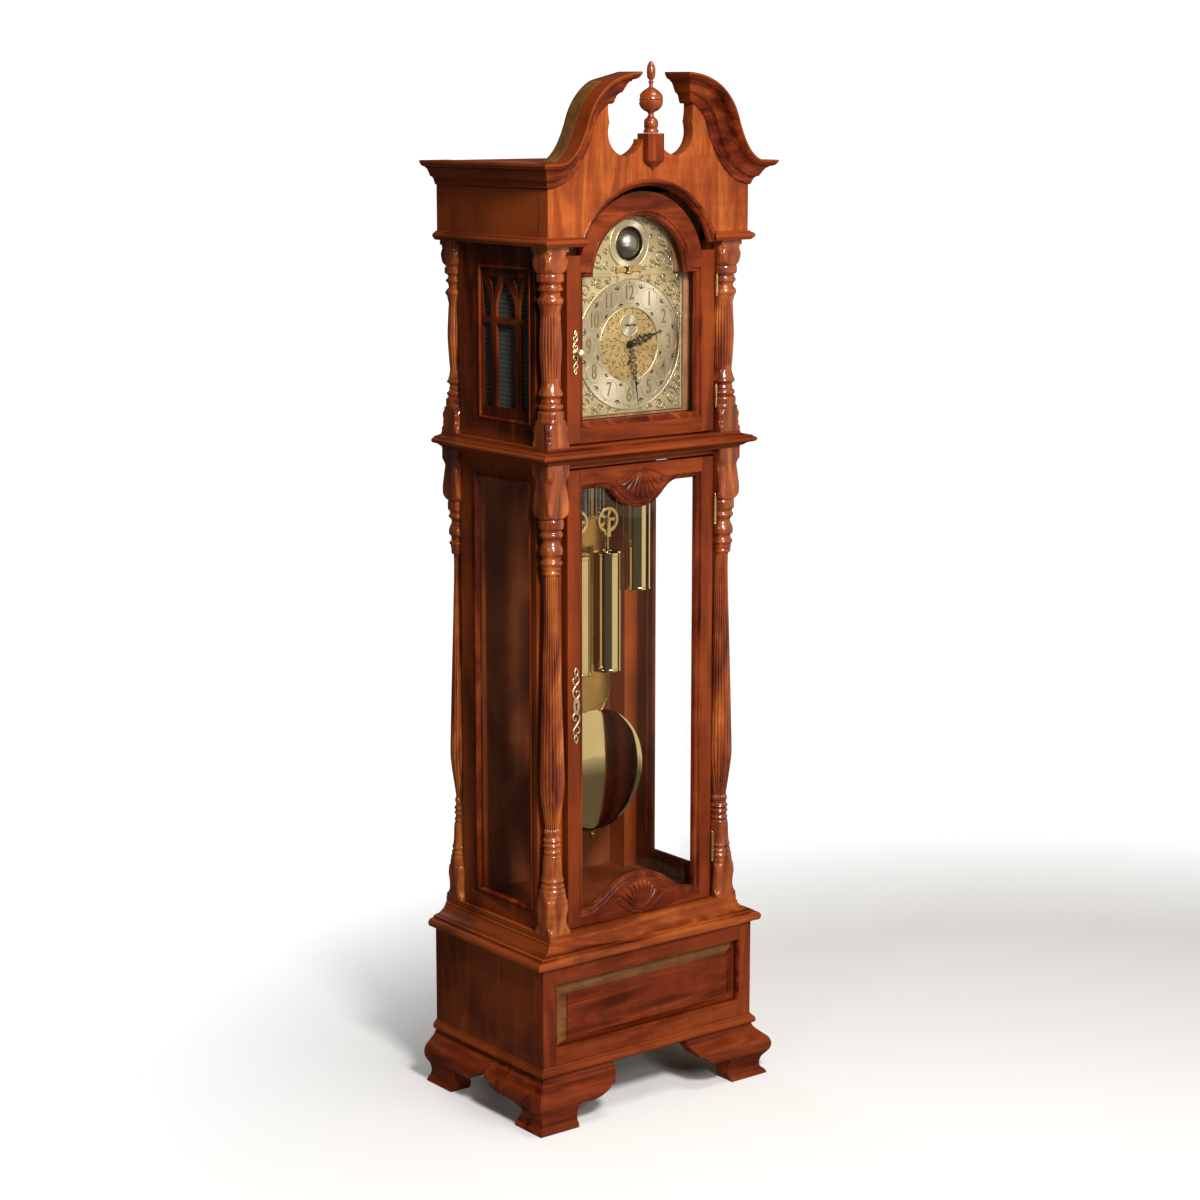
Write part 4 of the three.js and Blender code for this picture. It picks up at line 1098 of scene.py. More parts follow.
def half_cutout():
    """The right half of the cut-out round the finial, from its upper corner to the plinth."""
    line = bezier((102, 2124), (109, 2082), (109, 2062), (104, 2042), 10)
    line += bezier((104, 2042), (116, 2010), (96, 1978), (63, 1976), 16)
    return line + bezier((63, 1976), (48, 1978), (34, 1986), (23, 2001), 8) + [(23, 2001), (21, 2009)]


def make_fascia():
    under = 8.3 + GAP  # the board stops this far below the cornice's upper edge
    foot = HOOD_TOP + 2 * GAP
    edge = [(x + nx * under, z + nz * under) for x, z, nx, nz in swan_neck(44)]
    edge = [p for p in edge if 118 < p[0] < FASCIA_HALF]
    centre, radius = 1748, 183
    spring = math.degrees(math.asin((foot - centre) / radius))
    right = [(FASCIA_HALF, foot), (FASCIA_HALF, CORNICE_TOP - under), *edge, *half_cutout()]
    arch = arc((0, centre), radius, 180 - spring, spring, 48)
    outline = [*right, *mirrored(reversed(right), -1), *arch]
    obj = plate("fascia", outline, near=FASCIA_FRONT, far=FASCIA_FRONT + FASCIA_BOARD, eased=0.9)
    # the fascia board takes the brighter fascia finish: painted light
    dress(obj, "fascia.z", stands_for="fascia_board")
    y = FASCIA_FRONT
    lip = moulded(
        [(0.2, y + 17), (0.2, y + 1)],
        [(-2, y - 0.4), (-6, y - 0.2), (-8.4, y + 2)],
        [(-9, y + 2.6), (-9, y + 5)],
        [(-11.5, y + 6), (-14, y + 9), (-14.6, y + 13)],
        [(-14.6, y + 17)],
    )

    def round_arch(angle):
        c, d = math.cos(math.radians(angle)), math.sin(math.radians(angle))
        return lambda out, depth: ((radius + out) * c, depth, centre + (radius + out) * d)

    angles = [between(spring + 0.3, 179.7 - spring, i / 60) for i in range(61)]
    dress(sweep("fascia_arch_bead", lip, [round_arch(a) for a in angles]), "cherry.x")
    profile = moulded(
        [(-GAP, 1822), (3, 1821.5)],
        [(4, 1820), (5.5, 1818.6)],
        [(7, 1818.4), (10.4, 1815.6), (11.2, 1811.6), (9.6, 1808)],
        [(8, 1807.4), (7.2, 1805.6)],
        [(4.4, foot)],
        [(-GAP, foot)],
    )
    for side, sign in SIDES.items():
        stations = [
            outwards(sign * FASCIA_HALF, BACK, sign, 0),
            outwards(sign * FASCIA_HALF, FASCIA_FRONT, sign, -1),
            outwards(sign * 172, FASCIA_FRONT, -sign, -1),
        ]
        # the bead's side return takes the darker side finish: painted shade
        obj = sweep(f"hood_bead_{side}", profile, stations, segment_finish=[1, 0])
        dress(obj, "cherry.x", more=["side.y"])


make_fascia()


def make_finial():
    y = FASCIA_FRONT + 1
    front, back, wide, chamfer, depth = -191, FASCIA_FRONT - GAP, 20.8, 9, 8
    middle = back - 9
    half = [(wide - chamfer, front), (wide, front + depth), (wide, back)]
    section = [*mirrored(reversed(half), -1), *half]

    def level(z, share):
        return lambda u, v: (u * share, between(middle, v, share), z)

    levels = [level(z, share) for z, share in ((1953, 0.12), (1955, 0.2), (1967, 1), (2020, 1))]
    block = sweep("finial_block", section, levels, 20)
    dress(soften(block, 0.9), "cherry.z", stands_for="finial_plinth")
    drop = [(0, 1949.6), (1.8, 1950.2), (2.6, 1952), (1.8, 1954), (0, 1955)]
    dress(lathe("finial_drop", drop, (0, middle, 0), "z", 20), "cherry.z")
    rear = FASCIA_FRONT + 26
    section = [(-wide, FASCIA_FRONT), (wide, FASCIA_FRONT), (wide, rear - depth), (wide - chamfer, rear),
               (chamfer - wide, rear), (-wide, rear - depth)]
    seat = sweep("finial_seat", section, [lambda u, v, z=z: (u, v, z) for z in (2009.3, 2020)], 20)
    dress(soften(seat, 0.9), "cherry.z")
    base = 2021
    shape = turning([
        (0, 14.8), (3, 15.4), (7, 14.6), (8.4, 12.6), (10, 12.8), (13, 14.4), (20, 14.6), (26, 12.6),
        (29.5, 8.6), (33, 6.2), (37, 5.8), (40, 7), (43, 13), (48, 19), (56, 23.2), (63.6, 24.2),
        (65, 22.9), (66.4, 24.2), (73, 22.6), (80, 17.6), (85, 10.8), (87.5, 7), (89, 4.6), (94, 3.6),
        (97, 4.4), (98.4, 5.6), (100, 5.6), (101.4, 3.8), (103, 3.8), (105, 6), (110, 8.2), (119, 9),
        (127, 8.4), (134, 5.8), (138, 3.4), (140, 0.8),
    ], 1.2)
    profile = [(0, 0), *[(r, z) for z, r in shape], (0, 140.1)]
    # the finial takes the brighter post finish: painted light
    dress(lathe("turned_finial", profile, (0, y, base), "z", 56), "post.z", stands_for="finial")


make_finial()

# ---- Doors ----

STICKING = moulded(
    [(0, 17), (0, 8.5)],
    [(0.8, 6.4), (3.2, 4.2), (6.6, 3.4)],
    [(7.2, 3.2), (7.2, 2.0)],
    [(8.4, 0.6), (10, -0.5), (11.6, -0.2), (12, 0.8)],
    [(12, 17)],
)
STICK_WIDTH = 12


def sticking(name, loop, finish, body):
    profile = [(out, DOOR_FRONT + depth) for out, depth in STICKING]
    return dress(ring_moulding(name, loop, profile, in_front), finish, body)


def waist_opening():
    side, low, high = 148, 438, 1317
    right = bezier((0, 494), (80, 494), (90, low), (side, low), 22) + [(side, low), (side, high)]
    right += bezier((100, high), (60, high), (60, 1268), (0, 1268), 22)
    left = mirrored(reversed(right[1:]), -1)
    return [*right, (0, 1268), *left]


def door_stiles(body, inner, bottom, top):
    """The two upright sides of a door frame. The right one stands for the whole frame."""
    for side, sign in SIDES.items():
        x = sorted((sign * inner, sign * DOOR_HALF))
        stile = board(f"{body}_stile_{side}", x, (DOOR_FRONT, DOOR_BACK), (bottom, top), 1.4)
        dress(stile, "cherry.z", body, f"{body}_frame" if sign > 0 else ())


def door_rail(name, outline, body):
    dress(plate(name, outline, near=DOOR_FRONT + 0.15, far=DOOR_BACK, eased=0.3), "cherry.x", body)


def make_waist_door():
    body = "waist_door"
    loop = waist_opening()
    bottom, top = WAIST_DOOR_BOTTOM, WAIST_DOOR_TOP
    sticking("waist_door_sticking", loop, "cherry.z", body)
    around = offset_loop(loop, STICK_WIDTH - 0.2)
    inner = max(x for x, _ in around)
    door_stiles(body, inner, bottom, top)
    inner -= 0.1
    around = [(max(-inner, min(inner, x)), z, x) for x, z in around]
    low = [p[:2] for p in sorted((p for p in around if p[1] < 800), key=lambda p: -p[2])]
    high = [p[:2] for p in sorted((p for p in around if p[1] > 800), key=lambda p: p[2])]
    door_rail("waist_door_rail_bottom", [(-inner, bottom), (inner, bottom), *low], body)
    door_rail("waist_door_rail_top", [(inner, top), (-inner, top), *high], body)
    shell("shell_lower", (0, 409), 1, 68, 37, body)
    shell("shell_upper", (0, 1351), -1, 66, 31, body)
    bevelled_pane("waist_door_pane", loop, "waist_door_glass", body)


def shell(name, apex, up, reach, lowest, body):
    """A carved fan of ribs that rises from its apex and sinks into the rail at its rim."""
    ribs, columns, rows = 9, 90, 18
    sunk = -1.2
    verts = []
    for r in range(rows + 1):
        v = r / rows
        for c in range(columns + 1):
            u = c / columns
            a = math.radians(between(lowest, 180 - lowest, u))
            ridge = abs(math.sin(math.pi * ribs * u))
            rim = reach * (0.93 + 0.07 * ridge) * (1 - 0.03 * math.cos(2 * a))
            radius = between(5, rim, v)
            dome = math.sin(math.pi * min(1, 0.12 + 0.88 * v)) ** 0.5
            height = sunk + dome * (2.6 + 5.2 * v * ridge**0.7)
            if v > 0.94:
                height = between(height, sunk, (v - 0.94) / 0.06)
            x, z = apex[0] + radius * math.cos(a), apex[1] + up * radius * math.sin(a)
            verts.append((x, DOOR_FRONT - height, z))
    fan = made(name, verts, sheet_faces(columns, rows), 70)
    lines = []
    for sign in (-1, 1):
        foot = math.radians(lowest - 9)
        outer = (apex[0] + sign * reach * math.cos(foot), apex[1] + up * reach * math.sin(foot))
        centre = (outer[0] - sign * 5, outer[1] + up * 3)
        coil = spiral(centre, 6.5, -up * 60 if sign > 0 else 180 + up * 60, sign * up * 1.2, 0.25, 20)
        stem = [(apex[0] + sign * 7, apex[1] + up * 3), (apex[0] + sign * 26, apex[1] + up * 7), coil[0]]
        stem = [(x, z, 1 - 0.02 * i) for i, (x, z) in enumerate(curve_through(stem))]
        lines.append(stem + [(x, z, 0.75) for x, z in coil[1:]])
    rolls = wires(name + "_rolls", lines, 2.6, DOOR_FRONT - 0.6)
    dress(joined(name, [fan, rolls]), "cherry.x", body)


def bevelled_pane(name, loop, stands_for, body):
    """A pane with a wide ground bevel round its edge."""
    width = 24
    near, far = DOOR_BACK + 0.4, DOOR_BACK + 3.4
    count = len(loop)
    rings = ((6, far), (6, near + 1.6), (-width, near))
    verts = [(x, y, z) for out, y in rings for x, z in offset_loop(loop, out)]
    faces = [tuple(range(count)), *band(count, 0, 1), *band(count, 1, 2)]
    faces.append(tuple(2 * count + i for i in range(count)))
    finish = [0] + [1] * (2 * count) + [0]
    dress(made(name, verts, faces, 3, finish), "glass", body, stands_for, more=["bevelled_glass"])


HOOD_ARCH = {"half": 146, "bottom": 1454, "shoulder": 1740, "centre": 1737, "radius": 120}


def hood_opening():
    a = HOOD_ARCH
    lift = math.degrees(math.asin((a["shoulder"] - a["centre"]) / a["radius"]))
    arch = arc((0, a["centre"]), a["radius"], lift, 180 - lift, 40)
    return [(-a["half"], a["bottom"]), (a["half"], a["bottom"]), (a["half"], a["shoulder"]), *arch,
            (-a["half"], a["shoulder"])]


def make_hood_door():
    body = "hood_door"
    loop = hood_opening()
    sticking("hood_door_sticking", loop, "cherry.z", body)
    around = offset_loop(loop, STICK_WIDTH - 0.2)
    inner = max(x for x, _ in around)
    shoulder, centre, radius = 1784, 1748, 158
    door_stiles(body, inner, HOOD_DOOR_BOTTOM, shoulder)
    sill = HOOD_ARCH["bottom"] - STICK_WIDTH + 0.2
    door_rail("hood_door_rail", rectangle(-inner, inner, HOOD_DOOR_BOTTOM, sill), body)
    lift = math.degrees(math.asin((shoulder - centre) / radius))
    outer = arc((0, centre), radius, lift, 180 - lift, 40)
    inside = [p for p in around if p[1] > 1600]
    inside.sort(key=lambda p: math.atan2(p[1] - 1700, p[0]), reverse=True)
    door_rail("hood_door_head", [(inner, shoulder), *outer, (-inner, shoulder), *inside], body)
    pane = plate("hood_door_pane", offset_loop(loop, 6), near=DOOR_BACK + 0.4, far=DOOR_BACK + 3.4, eased=0.2)
    dress(pane, "glass", body, "hood_door_glass")


make_waist_door()
make_hood_door()


def finish_frame():
    """Plain CAD nodes that are carried over: boards and parts hidden inside the case."""
    kept = {
        "back_board": "inner.z",
        "top_board": "inner.x",
        "seat_board": "inner.x",
        "movement": "brass",
    }
    for side in SIDES:
        # the side boards take the darker side finish: painted shade
        kept[f"waist_side_{side}"] = "side.z"
        kept[f"hood_side_{side}"] = "side.z"
        kept[f"waist_side_glass_{side}"] = "glass"
    for node, finish in kept.items():
        obj = frame["nodes"][node]
        obj.data.materials.clear()
        obj.data.materials.append(FINISHES[finish][0])
        if finish != "glass":
            soften(obj, 0.8)


finish_frame()

# ---- Side lights ----

WAIST_LIGHT = {"front": -84, "back": 116, "bottom": 440, "top": 1334}
HOOD_LIGHT = {"front": -86, "back": 94, "bottom": 1446, "top": 1761}
SIDE_FACE = 240


def make_side_lights():
    bead = moulded(
        [(0, -12), (0, -3)],
        [(0, -2), (-1.5, 0.6), (-4, 1.6), (-6.5, 0.6), (-7.4, -2)],
        [(-7.4, -10)],
    )
    for side, sign in SIDES.items():

        def on_side(u, v, depth, s=sign):
            return (s * (SIDE_FACE + depth), u, v)

        for name, light in (("waist", WAIST_LIGHT), ("hood", HOOD_LIGHT)):
            loop = rectangle(light["front"], light["back"], light["bottom"], light["top"])
            profile = bead if name == "waist" else [(out, max(depth, -4.5)) for out, depth in bead]
            dress(ring_moulding(f"{name}_light_bead_{side}", loop, profile, on_side), "cherry.z")
        make_cloth(side, sign)


def make_cloth(side, sign):
    """Grille cloth stretched behind the fret, with a slight slackness in its middle."""
    light, x, columns, rows = HOOD_LIGHT, 227, 30, 52
    width, height = light["back"] - light["front"] - 1, light["top"] - light["bottom"] - 1
    verts = []
    for r in range(rows + 1):
        for c in range(columns + 1):
            u, v = c / columns, r / rows
            slack = 0.7 * math.sin(math.pi * u) * math.sin(math.pi * v)
            y, z = light["front"] + 0.5 + u * width, light["bottom"] + 0.5 + v * height
            verts.append((sign * (x - slack), y, z))
    obj = made(f"grille_cloth_{side}", verts, sheet_faces(columns, rows), 60)
    dress(obj, "cloth", stands_for=f"speaker_cloth_{side}")


make_side_lights()

# ---- Dial ----

DIAL_FRONT = span("dial_plate")[0].y
DIAL_HALF, DIAL_BOTTOM, DIAL_SHOULDER, DIAL_ARCH = 140, 1457, 1740, 118
CENTRE = (0, 1597)
SECONDS_CENTRE = (0, 1636)
MOON_CENTRE = (0, 1800)
WINDERS = [(-79, 1568), (0, 1560), (79, 1568)]
RING_OUTER, RING_INNER = 131, 76
CARTOUCHE_AT, CARTOUCHE = 103.5, 21.5


def polar(radius, hour, centre=CENTRE):
    """A point on the dial at a radius and an hour from 0 to 12, clockwise from the top."""
    a = 2 * math.pi * hour / 12
    return (centre[0] + radius * math.sin(a), centre[1] + radius * math.cos(a))


def washer(name, centre, outer, inner, near, far, finish):
    """A flat ring that faces the front, with eased edges."""
    eased = 0.3
    profile = [(inner, far), (inner, near + eased), (inner + eased, near), (outer - eased, near),
               (outer, near + eased), (outer, far), (inner, far)]
    return dress(lathe(name, profile, (centre[0], 0, centre[1]), "y", 96), finish)


def disc(name, centre, radius, near, far, finish):
    """A flat disc that faces the front."""
    profile = [(0, near), (radius * 0.6, near), (radius * 0.92, near)]
    profile += [(radius, near + 0.3), (radius, far), (0, far)]
    return dress(lathe(name, profile, (centre[0], 0, centre[1]), "y", 40), finish)


def filigree(name, lines):
    """Scrollwork in relief: bright wire over a broader dark line, which is partly the dial's dark outline and
    partly a painted shadow round the raised wire.
    """
    # the broad dark line: dark outline and painted shadow under the bright wire
    dress(wires(name + "_lines", lines, 2.3, DIAL_FRONT - 0.05, flatten=0.2), "umber")
    dress(wires(name, lines, 0.8, DIAL_FRONT - 0.5, flatten=0.6), "scroll_brass")


def tapered(line, start, end, over):
    """Adds a radius to each point of a line, from start down to end over a number of points."""
    return [(u, v, between(start, end, i / over)) for i, (u, v) in enumerate(line)]


def leafy(centre, radius, start, turns):
    """A volute with three small leaves that leave its outer turn."""
    coil = tapered(spiral(centre, radius, start, turns, 0.16), 1.0, 0.6, 26)
    lines = [coil]
    way = 1 if turns > 0 else -1
    for k, lift in ((3, 0.55), (7, 0.5), (11, 0.42)):
        x, z = coil[k][:2]
        out = math.atan2(z - centre[1], x - centre[0]) - way * 0.9
        across, up = math.cos(out), math.sin(out)
        tip = (x + lift * radius * across, z + lift * radius * up)
        bow = way * 0.14 * radius
        bend = (between(x, tip[0], 0.5) + bow * up, between(z, tip[1], 0.5) - bow * across)
        lines.append(tapered(curve_through([(x, z), bend, tip], 4), 0.9, 0.35, 8))
    return lines


# Each scroll: its centre, its radius, the angle at which it starts, and its turns.
SPANDREL = [
    ((112, 112), 20, 225, 1.6), ((128, 78), 12, 250, -1.4), ((78, 128), 12, 200, 1.4),
    ((132, 52), 8, 90, 1.2), ((52, 132), 8, 0, -1.2), ((130, 131), 8, 45, 1.2),
    ((92, 132), 8, 300, -1.2), ((132, 96), 8, 150, 1.2), ((133, 30), 6, 90, -1.1),
    ((30, 133), 6, 0, 1.1), ((100, 92), 7, 220, -1.2), ((92, 103), 6, 230, 1.1), ((133, 12), 5, 270, 1.1),
]
ARCH_SCROLLS = [
    ((80, 1770), 19, 200, 1.6), ((103, 1752), 9, 80, -1.3), ((88, 1806), 14, 300, -1.5),
    ((66, 1832), 12, 330, 1.4), ((42, 1847), 9, 350, -1.3), ((18, 1854), 6, 0, 1.2),
    ((58, 1756), 9, 120, -1.3), ((101, 1784), 8, 20, 1.2), ((60, 1788), 7, 160, 1.2),
    ((42, 1752), 6, 180, 1.1), ((58, 1812), 6, 200, -1.1), ((104, 1768), 6, 300, 1.1),
]


def make_dial():
    y = DIAL_FRONT
    arch = arc((0, DIAL_SHOULDER), DIAL_ARCH, 0, 180, 48)
    outline = [(-DIAL_HALF, DIAL_BOTTOM), (DIAL_HALF, DIAL_BOTTOM), (DIAL_HALF, DIAL_SHOULDER), *arch,
               (-DIAL_HALF, DIAL_SHOULDER)]
    holes = [circle(MOON_CENTRE, 35, 64), circle(CENTRE, 7, 24), *[circle(p, 5, 20) for p in WINDERS]]
    wall = span("hood_side_right")[0].x - 1
    surround = rectangle(-wall, wall, DIAL_BOTTOM - 5, 1900)
    mask = plate("dial_surround", surround, [offset_loop(outline, 0.8)], near=y - 1, far=y + 3.5, eased=0.4)
    # the dial surround is stained paler: painted light
    dress(mask, "painted_lit_lining.z")
    face = plate("dial_face", outline, holes, near=y, far=y + 3, eased=0.3)
    dress(face, "plate_brass", stands_for="dial_plate")
    border = [(0, y + 1), (-0.3, y - 1), (-1, y - 1.5), (-4, y - 1.5), (-4.8, y - 0.9), (-5, y + 1)]
    dress(ring_moulding("dial_border", outline, border, in_front), "scroll_brass")
    for side, sign in SIDES.items():
        x = sorted((sign * 36, sign * (DIAL_HALF - 4)))
        dress(board(f"dial_band_{side}", x, (y - 1.5, y + 0.5), (1736, 1743), 0.5), "scroll_brass")
    disc("dial_centre", CENTRE, RING_INNER - 1, y - 0.3, y + 1, "matted")
    lines = []
    for (u, v), radius, start, turns in SPANDREL:
        for flip_x in (1, -1):
            for flip_z in (1, -1):
                for line in leafy((u, v), radius, start, turns):
                    lines.append([(flip_x * p, CENTRE[1] + flip_z * q, w) for p, q, w in line])
    filigree("spandrel_scrolls", lines)
    lines = []
    for centre, radius, start, turns in ARCH_SCROLLS:
        for flip in (1, -1):
            for line in leafy(centre, radius, start, turns):
                lines.append([(flip * p, q, w) for p, q, w in line])
    filigree("arch_scrolls", lines)
    make_centre_engraving()
    make_chapter_ring()
    make_small_dials()


def make_centre_engraving():
    lines = []
    for ring, count in ((15, 6), (26, 11), (37, 16), (48, 20), (59, 25), (69, 29)):
        for k in range(count):
            hour = 12 * (k + 0.37 * ring) / count
            centre = polar(ring, hour)
            if math.dist(centre, SECONDS_CENTRE) < 27:
                continue
            start, turns = (61 * k + 37 * ring) % 360, 0.62 if (k + ring) % 2 else -0.62
            lines.append(tapered(spiral(centre, 5.4, start, turns, 0.4, 8), 1.1, 0.5, 8))
    dress(wires("centre_engraving", lines, 0.8, DIAL_FRONT - 0.35, flatten=0.4), "umber")


def make_chapter_ring():
    y = DIAL_FRONT - 1.6
    washer("chapter_ring", CENTRE, RING_OUTER, RING_INNER, y, DIAL_FRONT + 0.5, "silvered")
    for name, radius in (("outer", RING_OUTER + 1.2), ("inner", RING_INNER - 0.8)):
        rim = wires(f"chapter_rim_{name}", [circle(CENTRE, radius, 96)], 1.2, y + 0.6, closed=True)
        dress(rim, "scroll_brass")
    rings = [circle(CENTRE, RING_OUTER - 8.5, 96), circle(CENTRE, RING_INNER + 3, 96)]
    for hour in range(12):
        centre = polar(CARTOUCHE_AT, hour)
        rings += [circle(centre, CARTOUCHE, 40), circle(centre, CARTOUCHE - 1.6, 40)]
    dress(wires("chapter_lines", rings, 0.32, y, closed=True, flatten=0.6), "bronze")
    petals = []
    for k in range(12):
        for radius, size, way in ((RING_OUTER - 16, 9.5, 1), (RING_INNER + 10, 7, -1)):
            petals += palmette(polar(radius, k + 0.5), k + 0.5, size, way)
    dress(wires("chapter_palmettes", petals, 0.85, y, flatten=0.4), "ink")
    dots = []
    for minute in range(60):
        centre = polar(RING_OUTER - 4.6, minute / 5)
        size = 1.7 if minute % 5 == 0 else 0.8
        profile = [(0, y - 0.35), (size * 0.8, y - 0.3), (size, y + 0.3)]
        dots.append(lathe(f"minute_{minute}", profile, (centre[0], 0, centre[1]), "y", 10))
    dress(joined("minute_dots", dots), "ink")
    for hour in range(1, 13):
        numeral(hour, y)


def palmette(centre, hour, size, way):
    """Three leaves that fan outwards between two cartouches."""
    lines = []
    facing = math.pi / 2 - 2 * math.pi * hour / 12
    for turn in (-0.95, 0, 0.95):
        a = facing + turn if way > 0 else facing + math.pi + turn
        tip = (centre[0] + size * math.cos(a), centre[1] + size * math.sin(a))
        middle = (between(centre[0], tip[0], 0.5), between(centre[1], tip[1], 0.5))
        line = curve_through([centre, middle, tip], 3)
        lines.append([(x, z, 0.5 + math.sin(math.pi * i / (len(line) - 1))) for i, (x, z) in enumerate(line)])
    return lines


def numeral(hour, y):
    """A raised Arabic numeral with a dark edge, upright in its cartouche."""
    centre = polar(CARTOUCHE_AT, hour)
    for layer, finish, grow, height in (("edge", "umber", 0.35, 0.5), ("face", "bronze", -0.3, 0.85)):
        text = bpy.data.curves.new("numeral", "FONT")
        text.body = str(hour)
        text.size = 42 * MM
        text.align_x, text.align_y = "CENTER", "CENTER"
        text.extrude = height / 2 * MM
        text.offset = grow * MM
        text.space_character = 0.9
        turn = upright(centre[0], y - height / 2, centre[1], narrow=0.66)
        dress(from_curve(f"numeral_{hour}_{layer}", text, turn, 30), finish)


def make_small_dials():
    y = DIAL_FRONT - 1.4
    washer("seconds_dial", SECONDS_CENTRE, 22, 2.5, y, DIAL_FRONT + 0.5, "silvered")
    rim = wires("seconds_rim", [circle(SECONDS_CENTRE, 22.4, 64)], 0.9, y + 0.4, closed=True)
    dress(rim, "scroll_brass")
    ticks = [[polar(r, k / 5, SECONDS_CENTRE) for r in ((17.5, 20.5) if k % 5 == 0 else (19.3, 20.5))]
             for k in range(60)]
    dress(wires("seconds_ticks", ticks, 0.28, y, flatten=0.5), "ink")
    circles = [circle(SECONDS_CENTRE, 16, 40), circle(SECONDS_CENTRE, 9, 32)]
    dress(wires("seconds_lines", circles, 0.22, y, closed=True, flatten=0.5), "bronze")
    for k, place in enumerate(WINDERS):
        base = DIAL_FRONT - 1.8
        washer(f"winding_bush_{k}", place, 6.4, 4.6, base, DIAL_FRONT + 1, "brass")
        disc(f"winding_hole_{k}", place, 4.7, base + 0.7, DIAL_FRONT + 2.6, "ink")
        square = board(f"winding_square_{k}", (place[0] - 1.7, place[0] + 1.7), (base - 0.2, base + 3),
                       (place[1] - 1.7, place[1] + 1.7), 0.3)
        dress(square, "steel")
    washer("moon_ring", MOON_CENTRE, 48, 35, DIAL_FRONT - 1.2, DIAL_FRONT + 0.5, "silvered")
    marks = [[polar(r, k * 12 / 29.5, MOON_CENTRE) for r in (40, 42.5 if k % 5 else 45)] for k in range(30)]
    marks = [line for line in marks if line[0][1] > MOON_CENTRE[1] - 30]
    dress(wires("moon_marks", marks, 0.3, DIAL_FRONT - 1.2, flatten=0.5), "ink")
    ring = arc(MOON_CENTRE, 49.5, -58, 238, 80)
    keyhole = [(31, 1744), *ring, (-31, 1744)]
    dress(wires("moon_border", [keyhole], 1.7, DIAL_FRONT - 0.6), "scroll_brass")
    dress(wires("moon_rim", [circle(MOON_CENTRE, 35.2, 64)], 1.1, DIAL_FRONT - 1, closed=True), "brass")
    bar = board("plaque_bar", (-34, 30), (DIAL_FRONT - 3.4, DIAL_FRONT), (1743.5, 1753), 1.2)
    dress(bar, "brass")
    ends = [board(f"plaque_end_{x}", (x - 2.6, x + 2.6), (DIAL_FRONT - 5, DIAL_FRONT), (1741.5, 1755), 1)
            for x in (-32, 28)]
    dress(joined("plaque_ends", ends), "bronze")
    drum = [(0, 0), (11.4, 0), (12.4, 1), (12.4, 2.4), (11.2, 3)]
    drum += [(11.2, 13), (12.4, 13.6), (12.4, 15), (11.4, 16), (0, 16)]
    dress(lathe("plaque_drum", drum, (-2, DIAL_FRONT + 4, 1740.5), "z", 48), "mirror")


make_dial()


def hand_lines(length, loops, hour, centre):
    """A pierced hand: open loops of wire up to its middle, then a slim point."""
    a = 2 * math.pi * hour / 12

    def turned_to(u, v, w):
        c, d = math.cos(a), math.sin(a)
        return (centre[0] + u * c + v * d, centre[1] - u * d + v * c, w)

    lines, top = [], 6
    for height, width in loops:
        middle = top + height / 2
        for sign in (-1, 1):
            wide = sign * width
            side = [(0, top), (wide, middle - height * 0.12), (wide * 0.72, middle + height * 0.22)]
            side = curve_through([*side, (0, top + height)], 5)
            lines.append([turned_to(u, v, 1) for u, v in side])
            start = 180 if sign > 0 else 0
            curl = spiral((wide * 0.42, middle), width * 0.42, start, sign * 0.9, 0.3, 10)
            lines.append([turned_to(u, v, 0.7) for u, v in curl])
        top += height - 1
    point = ((top, 1.9), (between(top, length, 0.3), 1.5), (length, 0.35))
    lines.append([turned_to(0, v, w) for v, w in point])
    return lines


def make_hand(body, length, loops, hour, y, wire, hub_radius, bore):
    """A pierced hand and its hub, with the plane of the wires at y."""
    blade = wires(f"{body}_blade", hand_lines(length, loops, hour, CENTRE), wire, y, flatten=0.7)
    near, far = y - 0.8, y + 0.8
    hub = [(bore, far), (hub_radius, far), (hub_radius, y - 0.4), (hub_radius - 1, near)]
    hub += [(bore, near), (bore, far)]
    hub = lathe(f"{body}_hub", hub, (0, 0, CENTRE[1]), "y", 32)
    dress(joined(f"pierced_{body}", [blade, hub]), "black", body, body)


def make_hands():
    minutes = 28.5
    hour = 2 + minutes / 60
    make_hand("hour_hand", 89, ((14, 7), (17, 10), (15, 8), (11, 5)), hour, -101.2, 1.15, 8, 3.3)
    loops = ((15, 5.4), (18, 7), (17, 6), (14, 4.6), (11, 3.2))
    make_hand("minute_hand", 127, loops, minutes / 5, -105.2, 1.05, 6.4, 3)
    nut = [(0, -110.4), (1.6, -110.2), (3, -109), (3.2, -107.6), (2.4, -106.6), (2.4, -100), (0, -100)]
    dress(lathe("hand_nut", nut, (0, 0, CENTRE[1]), "y", 24), "black")
    x, z = SECONDS_CENTRE
    bar = wires("seconds_hand_bar", [[(x - 8, z), (x + 19, z)]], 0.6, -100.5, flatten=0.7)
    ball = [(0, -101), (1.4, -100.9), (2.2, -100.5), (1.4, -100.1), (0, -100)]
    balls = [lathe(f"seconds_ball_{k}", ball, (x + k, 0, z), "y", 20) for k in (-7, 0, 12)]
    dress(joined("dumbbell_seconds_hand", [bar, *balls]), "black", "seconds_hand", "seconds_hand")


make_hands()


def make_moon():
    """A ball with a groove at its equator, on its upright arbor."""
    x, z = MOON_CENTRE
    radius, y = 32, -80
    steps = 40
    profile = []
    for s in range(steps + 1):
        a = math.pi * (s / steps - 0.5)
        groove = 0.5 if s == steps // 2 else 0
        across = (radius - groove) * math.cos(a) if 0 < s < steps else 0
        profile.append((across, radius * math.sin(a)))
    ball = lathe("moon_dome", profile, (x, y, z), "z", 64)
    stem = [(0, -158), (2, -158), (2, -36), (6, -34), (6, -31), (0, -31)]
    arbor = lathe("moon_arbor", stem, (x, y, z), "z", 20)
    dress(joined("turning_moon", [ball, arbor]), "dome", "moon_ball", "moon_ball")


